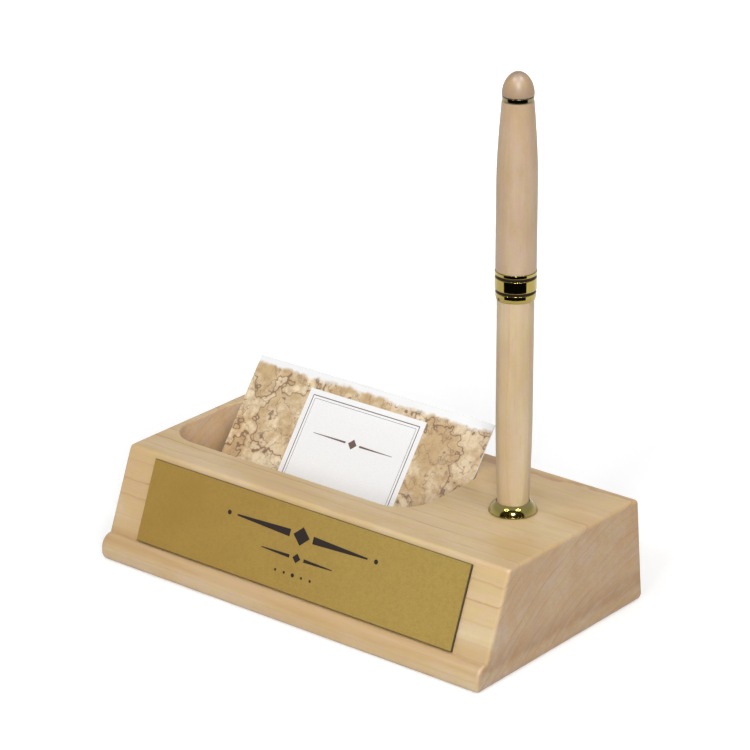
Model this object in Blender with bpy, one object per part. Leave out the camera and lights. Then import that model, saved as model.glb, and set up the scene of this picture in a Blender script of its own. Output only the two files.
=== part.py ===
"""A maple desk block with a sloped name plate, a card pocket and a twist pen standing in a socket.

X runs along the block with the pen at +X, -Y is the front, and Z is up from the underside.
"""
import math

import bmesh
import bpy
from mathutils import Vector

MM = 0.001

# Clearances
SEAT_GAP = 0.2 * MM
FILM_GAP = 0.1 * MM
CUT_OVERSHOOT = 2.0 * MM

# Block
BLOCK_LENGTH = 140.0 * MM
BLOCK_DEPTH = 77.5 * MM
BLOCK_HEIGHT = 32.3 * MM
BEAD_RADIUS = 4.0 * MM
BEAD_TOP = 7.8 * MM
FRONT_LEAN = math.radians(22.0)
BACK_LEAN = math.radians(5.8)
EDGE_EASE = 1.0 * MM

# Card pocket
POCKET_LENGTH = 92.3 * MM
POCKET_WIDTH = 38.1 * MM
POCKET_CORNER = 10.5 * MM
POCKET_FLOOR = 3.8 * MM
POCKET_END_WALL = 2.7 * MM
POCKET_FRONT_RIM = 12.4 * MM
POCKET_RIM_EASE = 0.5 * MM

# Name plate
PLATE_LENGTH = 116.6 * MM
PLATE_HEIGHT = 24.6 * MM
PLATE_THICKNESS = 0.5 * MM
PLATE_FROM_LEFT = 11.6 * MM
PLATE_FROM_BEAD = 0.2 * MM
PLATE_EASE = 0.12 * MM
ADHESIVE_THICKNESS = 0.1 * MM
ADHESIVE_INSET = 0.8 * MM

# Card
CARD_WIDTH = 88.9 * MM
CARD_HEIGHT = 50.8 * MM
CARD_THICKNESS = 0.4 * MM
CARD_FOOT_FROM_WALL = 11.8 * MM

# Pen socket
SOCKET_FROM_RIGHT = 23.4 * MM
SOCKET_FROM_FRONT = 46.1 * MM
SOCKET_BORE_PLAY = 0.25 * MM
SLEEVE_WALL = 0.85 * MM
SLEEVE_LENGTH = 11.4 * MM
SEAT_LAND = 1.5 * MM
FLANGE_RADIUS = 7.0 * MM
FLANGE_LIP = 0.3 * MM
FLANGE_STEP = 0.1 * MM
SKIRT_HEIGHT = 2.6 * MM
SKIRT_BULGE = 0.3 * MM
MOUTH_ROUND = 0.15 * MM
NIB_BELOW_TOP = 12.5 * MM
WELL_RADIUS = 3.6 * MM
WELL_BELOW_NIB = 5.0 * MM

# Pen, lower half
NIB_LENGTH = 12.7 * MM
NIB_TIP_RADIUS = 1.6 * MM
NIB_COLLAR = 1.0 * MM
NIB_SPIGOT = 6.0 * MM
LOWER_BARREL_LENGTH = 62.7 * MM
LOWER_TAPER_LENGTH = 29.0 * MM
LOWER_END_RADIUS = 4.38 * MM
LOWER_RADIUS = 5.13 * MM

# Pen, centre band
BAND_LENGTH = 8.3 * MM
BAND_FOOT_RADIUS = 5.2 * MM
BAND_EDGE_RADIUS = 5.68 * MM
BAND_TOP_RADIUS = 5.85 * MM
BAND_BULGE = 0.15 * MM
GROOVE_WIDTH = 0.75 * MM
GROOVE_DEPTH = 0.45 * MM
GROOVE_LOW = 2.55 * MM
GROOVE_HIGH = 6.78 * MM
INLAY_SINK = 0.12 * MM

# Pen, upper half
UPPER_BARREL_LENGTH = 47.4 * MM
UPPER_TAPER_LENGTH = 24.0 * MM
UPPER_RADIUS = 5.65 * MM
UPPER_END_RADIUS = 4.4 * MM
RING_HEIGHT = 1.4 * MM
RING_RADIUS = 4.38 * MM
FINIAL_HEIGHT = 6.4 * MM
FINIAL_RADIUS = 4.42 * MM
FINIAL_FOOT_ROUND = 0.25 * MM

# Pen, inside
TUBE_RADIUS = 3.5 * MM
TUBE_WALL = 0.35 * MM
PLUG_LENGTH = 7.0 * MM
STUD_RADIUS = 1.3 * MM
STUD_LENGTH = 3.5 * MM
TWIST_BODY_LENGTH = 24.0 * MM
TWIST_BODY_WALL = 0.5 * MM
TWIST_GRIP_LENGTH = 16.0 * MM
DRIVE_LENGTH = 17.0 * MM
CARRIER_LENGTH = 9.0 * MM
CARRIER_GRIP = 3.0 * MM
REFILL_HEAD = 2.0 * MM
REFILL_TRAVEL = 2.6 * MM
REFILL_RADIUS = 1.6 * MM
REFILL_WALL = 0.25 * MM
POINT_RADIUS = 1.15 * MM
POINT_LENGTH = 7.0 * MM
POINT_CONE = 2.4 * MM
BALL_RADIUS = 0.45 * MM
BALL_SHOWN = 0.5 * MM
POINT_RECESS = 0.6 * MM

# Round stretches
TURN_STEPS = 32
SMALL_TURN_STEPS = 24
ARC_STEPS = 6
SMOOTH_ANGLE = math.radians(35.0)

# Places worked out from the sizes
LEFT = -BLOCK_LENGTH / 2
RIGHT = BLOCK_LENGTH / 2
FRONT = -BLOCK_DEPTH / 2
BACK = BLOCK_DEPTH / 2
SLOPE_FOOT_Y = FRONT + BEAD_RADIUS
TOP_FRONT_Y = SLOPE_FOOT_Y + (BLOCK_HEIGHT - BEAD_TOP) * math.tan(FRONT_LEAN)
TOP_BACK_Y = BACK - BLOCK_HEIGHT * math.tan(BACK_LEAN)
POCKET_CENTRE_X = LEFT + POCKET_END_WALL + POCKET_LENGTH / 2
POCKET_FRONT_Y = TOP_FRONT_Y + POCKET_FRONT_RIM
POCKET_BACK_Y = POCKET_FRONT_Y + POCKET_WIDTH
SOCKET_X = RIGHT - SOCKET_FROM_RIGHT
SOCKET_Y = FRONT + SOCKET_FROM_FRONT
PEN_TIP_Z = BLOCK_HEIGHT - NIB_BELOW_TOP
TUBE_INSIDE = TUBE_RADIUS - TUBE_WALL
BARREL_BORE = TUBE_RADIUS + SEAT_GAP
SLEEVE_BORE = LOWER_END_RADIUS + SOCKET_BORE_PLAY
SLEEVE_RADIUS = SLEEVE_BORE + SLEEVE_WALL

# Heights along the pen, from the nib's tip
LOWER_BARREL_FOOT = NIB_LENGTH + SEAT_GAP
LOWER_BARREL_TOP = LOWER_BARREL_FOOT + LOWER_BARREL_LENGTH
BAND_FOOT = LOWER_BARREL_TOP + SEAT_GAP
UPPER_BARREL_FOOT = BAND_FOOT + BAND_LENGTH + SEAT_GAP
UPPER_BARREL_TOP = UPPER_BARREL_FOOT + UPPER_BARREL_LENGTH
RING_FOOT = UPPER_BARREL_TOP + SEAT_GAP
FINIAL_FOOT = RING_FOOT + RING_HEIGHT + SEAT_GAP
TWIST_BODY_FOOT = LOWER_BARREL_TOP - TWIST_BODY_LENGTH
DRIVE_FOOT = BAND_FOOT - DRIVE_LENGTH
REFILL_TOP = DRIVE_FOOT - SEAT_GAP
CARRIER_FOOT = REFILL_TOP - CARRIER_GRIP
POINT_FOOT = POINT_RECESS + BALL_SHOWN
REFILL_FOOT = POINT_FOOT + POINT_LENGTH
CARRIER_INSIDE = REFILL_RADIUS + SEAT_GAP
CARRIER_RADIUS = TUBE_INSIDE - SEAT_GAP - TWIST_BODY_WALL - SEAT_GAP


def clear_scene():
    for scene_object in list(bpy.data.objects):
        bpy.data.objects.remove(scene_object, do_unlink=True)


def make_material(name, colour, roughness, metallic):
    material = bpy.data.materials.new(name)
    material.use_nodes = True
    shader = material.node_tree.nodes["Principled BSDF"]
    shader.inputs["Base Color"].default_value = (*colour, 1.0)
    shader.inputs["Roughness"].default_value = roughness
    shader.inputs["Metallic"].default_value = metallic
    material.diffuse_color = (*colour, 1.0)
    return material


def maple():
    return make_material("maple", (0.72, 0.56, 0.36), 0.45, 0.0)


def satin_brass():
    return make_material("satin_brass", (0.42, 0.29, 0.08), 0.38, 1.0)


def polished_gold():
    return make_material("polished_gold", (0.83, 0.62, 0.22), 0.12, 1.0)


def plain_brass():
    return make_material("plain_brass", (0.66, 0.48, 0.2), 0.3, 1.0)


def black_enamel():
    return make_material("black_enamel", (0.01, 0.01, 0.01), 0.3, 0.0)


def card_stock():
    return make_material("card_stock", (0.86, 0.82, 0.72), 0.6, 0.0)


def adhesive_film():
    return make_material("adhesive_film", (0.75, 0.74, 0.7), 0.5, 0.0)


def refill_steel():
    return make_material("refill_steel", (0.55, 0.55, 0.56), 0.25, 1.0)


def new_object(name, bm, material):
    mesh = bpy.data.meshes.new(name)
    bmesh.ops.recalc_face_normals(bm, faces=bm.faces)
    bm.to_mesh(mesh)
    bm.free()
    mesh.shade_smooth()
    mesh.set_sharp_from_angle(angle=SMOOTH_ANGLE)
    if material:
        mesh.materials.append(material)
    made = bpy.data.objects.new(name, mesh)
    bpy.context.collection.objects.link(made)
    return made


def new_empty(name, location, parent=None):
    empty = bpy.data.objects.new(name, None)
    empty.empty_display_size = 5 * MM
    empty.location = location
    empty.parent = parent
    bpy.context.collection.objects.link(empty)
    return empty


def add_bevel(target, width, segments):
    bevel = target.modifiers.new("eased_edges", "BEVEL")
    bevel.width = width
    bevel.segments = segments
    bevel.limit_method = "ANGLE"
    bevel.angle_limit = math.radians(30.0)


def cut_with(target, cutter):
    cutter.hide_render = True
    cutter.display_type = "WIRE"
    cut = target.modifiers.new("cut_" + cutter.name, "BOOLEAN")
    cut.operation = "DIFFERENCE"
    cut.solver = "EXACT"
    cut.object = cutter


def arc(centre, radii, start, end, steps=ARC_STEPS):
    """Points of an elliptical arc, with angles in degrees from the first axis."""
    points = []
    for step in range(steps + 1):
        angle = math.radians(start + (end - start) * step / steps)
        points.append((centre[0] + radii[0] * math.cos(angle), centre[1] + radii[1] * math.sin(angle)))
    return points


def turned(name, profile, material, parent, steps=TURN_STEPS):
    """Spins a closed outline of (radius, height) points round its parent's Z axis."""
    bm = bmesh.new()
    points = [bm.verts.new((radius, 0.0, height)) for radius, height in profile]
    lines = [bm.edges.new((points[i], points[(i + 1) % len(points)])) for i in range(len(points))]
    bmesh.ops.spin(bm, geom=points + lines, cent=(0, 0, 0), axis=(0, 0, 1), angle=math.tau, steps=steps)
    bmesh.ops.remove_doubles(bm, verts=bm.verts, dist=0.001 * MM)
    flat = [face for face in bm.faces if face.calc_area() < 1e-14]
    bmesh.ops.delete(bm, geom=flat, context="FACES_ONLY")
    loose = [edge for edge in bm.edges if not edge.link_faces]
    bmesh.ops.delete(bm, geom=loose, context="EDGES")
    made = new_object(name, bm, material)
    made.parent = parent
    return made


def tube_profile(inner, outer, foot, top):
    return [(inner, foot), (outer, foot), (outer, top), (inner, top)]


def bulged_line(start, end, bulge, steps=ARC_STEPS):
    """Points from one place to another, swelling outwards in a half sine between them."""
    run = Vector(end) - Vector(start)
    outwards = Vector((run.y, -run.x)).normalized()
    points = []
    for step in range(steps + 1):
        part = step / steps
        points.append(tuple(Vector(start) + run * part + outwards * bulge * math.sin(math.pi * part)))
    return points


def block_section():
    """Outline in (y, z): a quarter-round bead, the sloped face, the top and the leaning back."""
    bead = arc((SLOPE_FOOT_Y, BEAD_TOP - BEAD_RADIUS), (BEAD_RADIUS, BEAD_RADIUS), 180, 90)
    return [(FRONT, 0.0)] + bead + [(TOP_FRONT_Y, BLOCK_HEIGHT), (TOP_BACK_Y, BLOCK_HEIGHT), (BACK, 0.0)]


def rounded_rectangle(centre, length, width, corner):
    half_x = length / 2 - corner
    half_y = width / 2 - corner
    points = []
    for quarter, (side_x, side_y) in enumerate(((1, 1), (-1, 1), (-1, -1), (1, -1))):
        middle = (centre[0] + side_x * half_x, centre[1] + side_y * half_y)
        points += arc(middle, (corner, corner), 90 * quarter, 90 * quarter + 90)
    return points


def loft(name, outlines):
    """A closed body through level outlines of (x, y) points, each with its height."""
    bm = bmesh.new()
    rings = []
    for outline, height in outlines:
        rings.append([bm.verts.new((x, y, height)) for x, y in outline])
    count = len(rings[0])
    for low, high in zip(rings, rings[1:]):
        for i in range(count):
            bm.faces.new((low[i], low[(i + 1) % count], high[(i + 1) % count], high[i]))
    bm.faces.new(rings[0])
    bm.faces.new(rings[-1])
    return new_object(name, bm, None)


def pocket_cutter():
    centre = (POCKET_CENTRE_X, (POCKET_FRONT_Y + POCKET_BACK_Y) / 2)
    levels = [(0.0, POCKET_FLOOR)]
    levels += [(POCKET_RIM_EASE + grow, BLOCK_HEIGHT - POCKET_RIM_EASE + rise)
               for grow, rise in arc((0, 0), (POCKET_RIM_EASE, POCKET_RIM_EASE), 180, 90, 3)]
    levels.append((POCKET_RIM_EASE, BLOCK_HEIGHT + CUT_OVERSHOOT))
    outlines = []
    for grow, height in levels:
        size = (POCKET_LENGTH + 2 * grow, POCKET_WIDTH + 2 * grow)
        outlines.append((rounded_rectangle(centre, *size, POCKET_CORNER + grow), height))
    return loft("pocket_cutter", outlines)


def socket_hole_cutter(socket_place):
    """A stepped hole: the sleeve's counterbore, then a narrower well below the pen's point."""
    sleeve_room = SLEEVE_RADIUS + SEAT_GAP
    step = -SLEEVE_LENGTH - SEAT_GAP
    floor = -NIB_BELOW_TOP - WELL_BELOW_NIB
    profile = [(0, CUT_OVERSHOOT), (0, floor), (WELL_RADIUS, floor), (WELL_RADIUS, step),
               (sleeve_room, step), (sleeve_room, CUT_OVERSHOOT)]
    return turned("socket_hole_cutter", profile, None, socket_place)


def base_block(material, socket_place):
    bm = bmesh.new()
    outline = [bm.verts.new((LEFT, y, z)) for y, z in block_section()]
    end_face = bm.faces.new(outline)
    grown = bmesh.ops.extrude_face_region(bm, geom=[end_face])
    moved = [item for item in grown["geom"] if isinstance(item, bmesh.types.BMVert)]
    bmesh.ops.translate(bm, verts=moved, vec=(BLOCK_LENGTH, 0, 0))
    block = new_object("base_block", bm, material)
    add_bevel(block, EDGE_EASE, 2)
    cut_with(block, pocket_cutter())
    cut_with(block, socket_hole_cutter(socket_place))
    return block


def board(name, length, height, thickness, material, ease=0.0):
    """A thin board standing on its local X axis, with +Y up its face and +Z out of its front."""
    bm = bmesh.new()
    bmesh.ops.create_cube(bm, size=1.0)
    bmesh.ops.scale(bm, verts=bm.verts, vec=(length, height, thickness))
    bmesh.ops.translate(bm, verts=bm.verts, vec=(0, height / 2, thickness / 2))
    made = new_object(name, bm, material)
    if ease:
        add_bevel(made, ease, 1)
    return made


def lay_back(item, x, y, z, lean):
    item.location = (x, y, z)
    item.rotation_euler = (math.pi / 2 - lean, 0, 0)


def on_slope(distance, stand_off):
    """A place (y, z) up the sloped face from its foot, standing off the wood."""
    y = SLOPE_FOOT_Y + distance * math.sin(FRONT_LEAN) - stand_off * math.cos(FRONT_LEAN)
    z = BEAD_TOP + distance * math.cos(FRONT_LEAN) + stand_off * math.sin(FRONT_LEAN)
    return y, z


def name_plate(material):
    plate = board("name_plate", PLATE_LENGTH, PLATE_HEIGHT, PLATE_THICKNESS, material, PLATE_EASE)
    stand_off = 2 * FILM_GAP + ADHESIVE_THICKNESS
    centre_x = LEFT + PLATE_FROM_LEFT + PLATE_LENGTH / 2
    lay_back(plate, centre_x, *on_slope(PLATE_FROM_BEAD, stand_off), FRONT_LEAN)


def plate_adhesive(material):
    length = PLATE_LENGTH - 2 * ADHESIVE_INSET
    height = PLATE_HEIGHT - 2 * ADHESIVE_INSET
    film = board("plate_adhesive", length, height, ADHESIVE_THICKNESS, material)
    centre_x = LEFT + PLATE_FROM_LEFT + PLATE_LENGTH / 2
    lay_back(film, centre_x, *on_slope(PLATE_FROM_BEAD + ADHESIVE_INSET, FILM_GAP), FRONT_LEAN)


def card_rest():
    """Foot (y, z) and lean of a card that stands on the floor and rests on the pocket's back corners."""
    side_gap = (POCKET_LENGTH - CARD_WIDTH) / 2
    across = max(POCKET_CORNER - side_gap, 0.0)
    corner_y = POCKET_BACK_Y - POCKET_CORNER + math.sqrt(POCKET_CORNER ** 2 - across ** 2)
    foot_y = POCKET_FRONT_Y + CARD_FOOT_FROM_WALL
    foot_z = POCKET_FLOOR + SEAT_GAP
    reach = Vector((corner_y - foot_y, BLOCK_HEIGHT - foot_z))
    lean = math.atan2(reach.x, reach.y) - math.asin(SEAT_GAP / reach.length)
    return foot_y, foot_z, lean


def business_card(material):
    card = board("business_card", CARD_WIDTH, CARD_HEIGHT, CARD_THICKNESS, material)
    lay_back(card, POCKET_CENTRE_X, *card_rest())


def pen_socket(material, socket_place):
    """A skirted flange with a sleeve below it, whose inner land carries the nib."""
    land_top = NIB_BELOW_TOP - SLEEVE_LENGTH + SEAT_LAND
    land_foot = NIB_BELOW_TOP - SLEEVE_LENGTH
    crest = SLEEVE_BORE + MOUTH_ROUND
    skirt_foot = SEAT_GAP + FLANGE_LIP
    skirt_top = skirt_foot + SKIRT_HEIGHT
    skirt = bulged_line((FLANGE_RADIUS - FLANGE_STEP, skirt_foot), (crest, skirt_top), SKIRT_BULGE)
    mouth = arc((crest, skirt_top - MOUTH_ROUND), (MOUTH_ROUND, MOUTH_ROUND), 90, 180, 3)
    bore = [(SLEEVE_BORE, land_top - NIB_BELOW_TOP),
            (nib_radius(land_top) + SEAT_GAP, land_top - NIB_BELOW_TOP),
            (nib_radius(land_foot) + SEAT_GAP, -SLEEVE_LENGTH)]
    outside = [(SLEEVE_RADIUS, -SLEEVE_LENGTH), (SLEEVE_RADIUS, SEAT_GAP),
               (FLANGE_RADIUS, SEAT_GAP), (FLANGE_RADIUS, skirt_foot)]
    turned("pen_socket", outside + skirt + mouth[1:] + bore, material, socket_place)


def nib_radius(height):
    """The nib's outside radius at a height above its tip: an ogive under a short collar."""
    ogive = NIB_LENGTH - NIB_COLLAR
    part = min(max(height / ogive, 0.0), 1.0)
    return NIB_TIP_RADIUS + (LOWER_END_RADIUS - NIB_TIP_RADIUS) * math.sin(part * math.pi / 2)


def nib(material, pen):
    ogive = NIB_LENGTH - NIB_COLLAR
    outside = []
    for step in range(ARC_STEPS + 2):
        height = ogive * step / (ARC_STEPS + 1)
        outside.append((nib_radius(height), height))
    spigot = TUBE_INSIDE - SEAT_GAP
    spigot_top = NIB_LENGTH + NIB_SPIGOT
    shoulder = POINT_FOOT + POINT_LENGTH - REFILL_TRAVEL - SEAT_GAP
    point_bore = POINT_RADIUS + SEAT_GAP
    refill_bore = REFILL_RADIUS + SEAT_GAP
    collar = [(LOWER_END_RADIUS, NIB_LENGTH), (spigot, NIB_LENGTH), (spigot, spigot_top)]
    inside = [(refill_bore, spigot_top), (refill_bore, shoulder), (point_bore, shoulder), (point_bore, 0.0)]
    turned("nib", outside + collar + inside, material, pen)


def lower_barrel(material, pen):
    """The wood thins towards the nib in a quarter cosine."""
    outside = []
    for step in range(2 * ARC_STEPS + 1):
        part = step / (2 * ARC_STEPS)
        swell = math.sin(part * math.pi / 2)
        radius = LOWER_END_RADIUS + (LOWER_RADIUS - LOWER_END_RADIUS) * swell
        outside.append((radius, LOWER_BARREL_FOOT + LOWER_TAPER_LENGTH * part))
    outside.append((LOWER_RADIUS, LOWER_BARREL_TOP))
    bore = [(BARREL_BORE, LOWER_BARREL_TOP), (BARREL_BORE, LOWER_BARREL_FOOT)]
    turned("lower_barrel", outside + bore, material, pen)


def lower_tube(material, pen):
    profile = tube_profile(TUBE_INSIDE, TUBE_RADIUS, LOWER_BARREL_FOOT, LOWER_BARREL_TOP)
    turned("lower_tube", profile, material, pen, SMALL_TURN_STEPS)


def twist_body(material, pen):
    """The fixed half of the twist mechanism, pressed into the lower tube."""
    outer = TUBE_INSIDE - SEAT_GAP
    profile = tube_profile(outer - TWIST_BODY_WALL, outer, TWIST_BODY_FOOT, LOWER_BARREL_TOP)
    turned("twist_body", profile, material, pen, SMALL_TURN_STEPS)


def twist_driver(material, pen_top):
    """The turning half: a grip inside the upper tube and a drive shaft down into the fixed half."""
    grip = TUBE_INSIDE - SEAT_GAP
    grip_top = BAND_FOOT + TWIST_GRIP_LENGTH
    profile = [(0, DRIVE_FOOT), (REFILL_RADIUS, DRIVE_FOOT), (REFILL_RADIUS, BAND_FOOT),
               (grip, BAND_FOOT), (grip, grip_top), (0, grip_top)]
    turned("twist_driver", profile, material, pen_top, SMALL_TURN_STEPS)


def centre_band(material, pen_top):
    """A stepped ring: a tapered foot, a bulged middle and a narrow top, parted by two grooves."""
    half_groove = GROOVE_WIDTH / 2
    low_foot, low_top = GROOVE_LOW - half_groove, GROOVE_LOW + half_groove
    high_foot, high_top = GROOVE_HIGH - half_groove, GROOVE_HIGH + half_groove
    floor = BAND_EDGE_RADIUS - GROOVE_DEPTH
    bulge = [(BAND_EDGE_RADIUS + BAND_BULGE * math.sin(math.pi * step / ARC_STEPS),
              low_top + (high_foot - low_top) * step / ARC_STEPS) for step in range(ARC_STEPS + 1)]
    outside = [(BAND_FOOT_RADIUS, 0.0), (BAND_EDGE_RADIUS, low_foot), (floor, low_foot), (floor, low_top)]
    outside += bulge
    outside += [(floor, high_foot), (floor, high_top), (BAND_EDGE_RADIUS, high_top),
                (BAND_TOP_RADIUS, BAND_LENGTH)]
    bore = [(TUBE_RADIUS + SEAT_GAP, BAND_LENGTH), (TUBE_RADIUS + SEAT_GAP, 0.0)]
    profile = [(radius, BAND_FOOT + height) for radius, height in outside + bore]
    turned("centre_band", profile, material, pen_top)


def band_inlay(name, groove, material, pen_top):
    """Black enamel that fills a groove almost to its edge."""
    inner = BAND_EDGE_RADIUS - GROOVE_DEPTH + FILM_GAP
    outer = BAND_EDGE_RADIUS - INLAY_SINK
    half = GROOVE_WIDTH / 2 - FILM_GAP
    middle = BAND_FOOT + groove
    turned(name, tube_profile(inner, outer, middle - half, middle + half), material, pen_top)


def upper_barrel(material, pen_top):
    """The wood keeps its full width above the band, then thins in a cosine to the ring."""
    taper_foot = UPPER_BARREL_TOP - UPPER_TAPER_LENGTH
    outside = [(UPPER_RADIUS, UPPER_BARREL_FOOT)]
    for step in range(2 * ARC_STEPS + 1):
        part = step / (2 * ARC_STEPS)
        radius = UPPER_END_RADIUS + (UPPER_RADIUS - UPPER_END_RADIUS) * math.cos(part * math.pi / 2)
        outside.append((radius, taper_foot + UPPER_TAPER_LENGTH * part))
    bore = [(BARREL_BORE, UPPER_BARREL_TOP), (BARREL_BORE, UPPER_BARREL_FOOT)]
    turned("upper_barrel", outside + bore, material, pen_top)


def upper_tube(material, pen_top):
    profile = tube_profile(TUBE_INSIDE, TUBE_RADIUS, BAND_FOOT + SEAT_GAP, UPPER_BARREL_TOP)
    turned("upper_tube", profile, material, pen_top, SMALL_TURN_STEPS)


def cap_plug(material, pen_top):
    """A plug pressed into the upper tube, with a stud up through the ring into the finial."""
    plug = TUBE_INSIDE - SEAT_GAP
    foot = UPPER_BARREL_TOP - PLUG_LENGTH
    profile = [(0, foot), (plug, foot), (plug, UPPER_BARREL_TOP), (STUD_RADIUS, UPPER_BARREL_TOP),
               (STUD_RADIUS, FINIAL_FOOT + STUD_LENGTH), (0, FINIAL_FOOT + STUD_LENGTH)]
    turned("cap_plug", profile, material, pen_top, SMALL_TURN_STEPS)


def finial_ring(material, pen_top):
    profile = tube_profile(STUD_RADIUS + SEAT_GAP, RING_RADIUS, RING_FOOT, RING_FOOT + RING_HEIGHT)
    turned("finial_ring", profile, material, pen_top)


def finial(material, pen_top):
    """A half-ellipse dome with a small round at its foot and a blind hole for the stud."""
    foot_round = arc((FINIAL_RADIUS - FINIAL_FOOT_ROUND, FINIAL_FOOT + FINIAL_FOOT_ROUND),
                     (FINIAL_FOOT_ROUND, FINIAL_FOOT_ROUND), -90, 0, 2)
    dome = arc((0, FINIAL_FOOT + FINIAL_FOOT_ROUND), (FINIAL_RADIUS, FINIAL_HEIGHT - FINIAL_FOOT_ROUND),
               0, 90, 2 * ARC_STEPS)
    hole = STUD_RADIUS + SEAT_GAP
    hole_top = FINIAL_FOOT + STUD_LENGTH + SEAT_GAP
    inside = [(0, hole_top), (hole, hole_top), (hole, FINIAL_FOOT)]
    turned("finial", foot_round + dome[1:-1] + [(0, FINIAL_FOOT + FINIAL_HEIGHT)] + inside, material, pen_top)


def refill_carrier(material, refill):
    """A sliding sleeve: the refill's head is held in its foot and the drive shaft works in its top."""
    profile = tube_profile(CARRIER_INSIDE, CARRIER_RADIUS, CARRIER_FOOT, CARRIER_FOOT + CARRIER_LENGTH)
    turned("refill_carrier", profile, material, refill, SMALL_TURN_STEPS)


def refill_tube(material, refill):
    """The ink tube, closed by its head at the top."""
    inside = REFILL_RADIUS - REFILL_WALL
    head = REFILL_TOP - REFILL_HEAD
    profile = [(inside, REFILL_FOOT + SEAT_GAP), (REFILL_RADIUS, REFILL_FOOT + SEAT_GAP),
               (REFILL_RADIUS, REFILL_TOP), (0, REFILL_TOP), (0, head), (inside, head)]
    turned("refill_tube", profile, material, refill, SMALL_TURN_STEPS)


def refill_point(material, refill):
    """The writing point: a parallel shank with a cone below it and a plug up into the ink tube."""
    plug = REFILL_RADIUS - REFILL_WALL - FILM_GAP
    profile = [(0, POINT_FOOT), (BALL_RADIUS, POINT_FOOT), (POINT_RADIUS, POINT_FOOT + POINT_CONE),
               (POINT_RADIUS, REFILL_FOOT), (plug, REFILL_FOOT),
               (plug, REFILL_FOOT + POINT_CONE), (0, REFILL_FOOT + POINT_CONE)]
    turned("refill_point", profile, material, refill, SMALL_TURN_STEPS)


def refill_ball(material, refill):
    centre = POINT_FOOT - FILM_GAP - BALL_RADIUS
    profile = arc((0, centre), (BALL_RADIUS, BALL_RADIUS), -90, 90)
    turned("refill_ball", profile, material, refill, 2 * ARC_STEPS)


def build_pen():
    wood = maple()
    gold = polished_gold()
    brass = plain_brass()
    enamel = black_enamel()
    steel = refill_steel()
    pen = new_empty("pen_axis", (SOCKET_X, SOCKET_Y, PEN_TIP_Z))
    pen_top = new_empty("pen_top_axis", (0, 0, 0), pen)
    refill = new_empty("refill_axis", (0, 0, 0), pen)
    nib(gold, pen)
    lower_barrel(wood, pen)
    lower_tube(brass, pen)
    twist_body(brass, pen)
    twist_driver(brass, pen_top)
    centre_band(gold, pen_top)
    band_inlay("band_inlay_lower", GROOVE_LOW, enamel, pen_top)
    band_inlay("band_inlay_upper", GROOVE_HIGH, enamel, pen_top)
    upper_barrel(wood, pen_top)
    upper_tube(brass, pen_top)
    cap_plug(brass, pen_top)
    finial_ring(gold, pen_top)
    finial(wood, pen_top)
    refill_carrier(brass, refill)
    refill_tube(steel, refill)
    refill_point(steel, refill)
    refill_ball(steel, refill)


def build():
    clear_scene()
    socket_place = new_empty("socket_place", (SOCKET_X, SOCKET_Y, BLOCK_HEIGHT))
    base_block(maple(), socket_place)
    name_plate(satin_brass())
    plate_adhesive(adhesive_film())
    business_card(card_stock())
    pen_socket(polished_gold(), socket_place)
    build_pen()


build()
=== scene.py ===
"""Looks for the maple desk block: wood, gilt and printed finishes, floor, light and camera."""
import math

import bmesh
import bpy
from mathutils import Matrix, Vector

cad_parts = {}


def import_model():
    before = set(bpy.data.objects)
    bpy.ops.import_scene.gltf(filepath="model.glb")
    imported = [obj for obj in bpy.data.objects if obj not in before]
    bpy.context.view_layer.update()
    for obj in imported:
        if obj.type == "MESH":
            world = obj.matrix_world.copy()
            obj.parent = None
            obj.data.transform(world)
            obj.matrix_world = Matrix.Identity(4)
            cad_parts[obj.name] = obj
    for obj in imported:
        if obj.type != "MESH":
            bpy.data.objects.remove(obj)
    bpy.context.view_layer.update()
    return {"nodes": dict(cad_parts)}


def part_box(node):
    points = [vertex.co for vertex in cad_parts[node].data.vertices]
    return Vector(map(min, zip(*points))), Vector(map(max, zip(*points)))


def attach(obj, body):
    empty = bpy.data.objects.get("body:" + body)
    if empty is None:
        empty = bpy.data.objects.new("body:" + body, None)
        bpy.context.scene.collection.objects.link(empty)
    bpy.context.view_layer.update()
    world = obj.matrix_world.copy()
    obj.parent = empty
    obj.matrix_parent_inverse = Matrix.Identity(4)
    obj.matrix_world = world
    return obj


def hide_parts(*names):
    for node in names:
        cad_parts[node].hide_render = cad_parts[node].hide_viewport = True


MM = 0.001

# Block, in the frame's own axes
BLOCK_LENGTH = 140.0 * MM
BLOCK_DEPTH = 77.5 * MM
BLOCK_HEIGHT = 32.3 * MM
BEAD_RADIUS = 4.0 * MM
BEAD_TOP = 7.8 * MM
FRONT_LEAN = math.radians(22.0)
BACK_LEAN = math.radians(5.8)
EDGE_EASE = 2.0 * MM
UPPER_EASE_SHARE = 0.6
POCKET_LENGTH = 92.3 * MM
POCKET_WIDTH = 38.1 * MM
POCKET_CORNER = 10.5 * MM
POCKET_FLOOR = 3.8 * MM
POCKET_END_WALL = 2.7 * MM
POCKET_FRONT_RIM = 12.4 * MM
POCKET_RIM_EASE = 0.5 * MM
CUT_OVERSHOOT = 2.0 * MM

# Plate and its engraving
PLATE_LENGTH = 116.6 * MM
PLATE_HEIGHT = 24.6 * MM
PLATE_THICKNESS = 0.5 * MM
PLATE_FROM_LEFT = 11.6 * MM
PLATE_FROM_BEAD = 0.2 * MM
PLATE_STAND_OFF = 0.3 * MM
ENGRAVING_PROUD = 0.02 * MM
ENGRAVING_DEEP = 0.2 * MM

# Card and its print
CARD_WIDTH = 88.9 * MM
CARD_HEIGHT = 50.8 * MM
CARD_THICKNESS = 0.4 * MM
LABEL_WIDTH = 44.0 * MM
LABEL_MARGIN = 5.2 * MM
PRINT_PROUD = 0.01 * MM
PRINT_DEEP = 0.05 * MM

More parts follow.
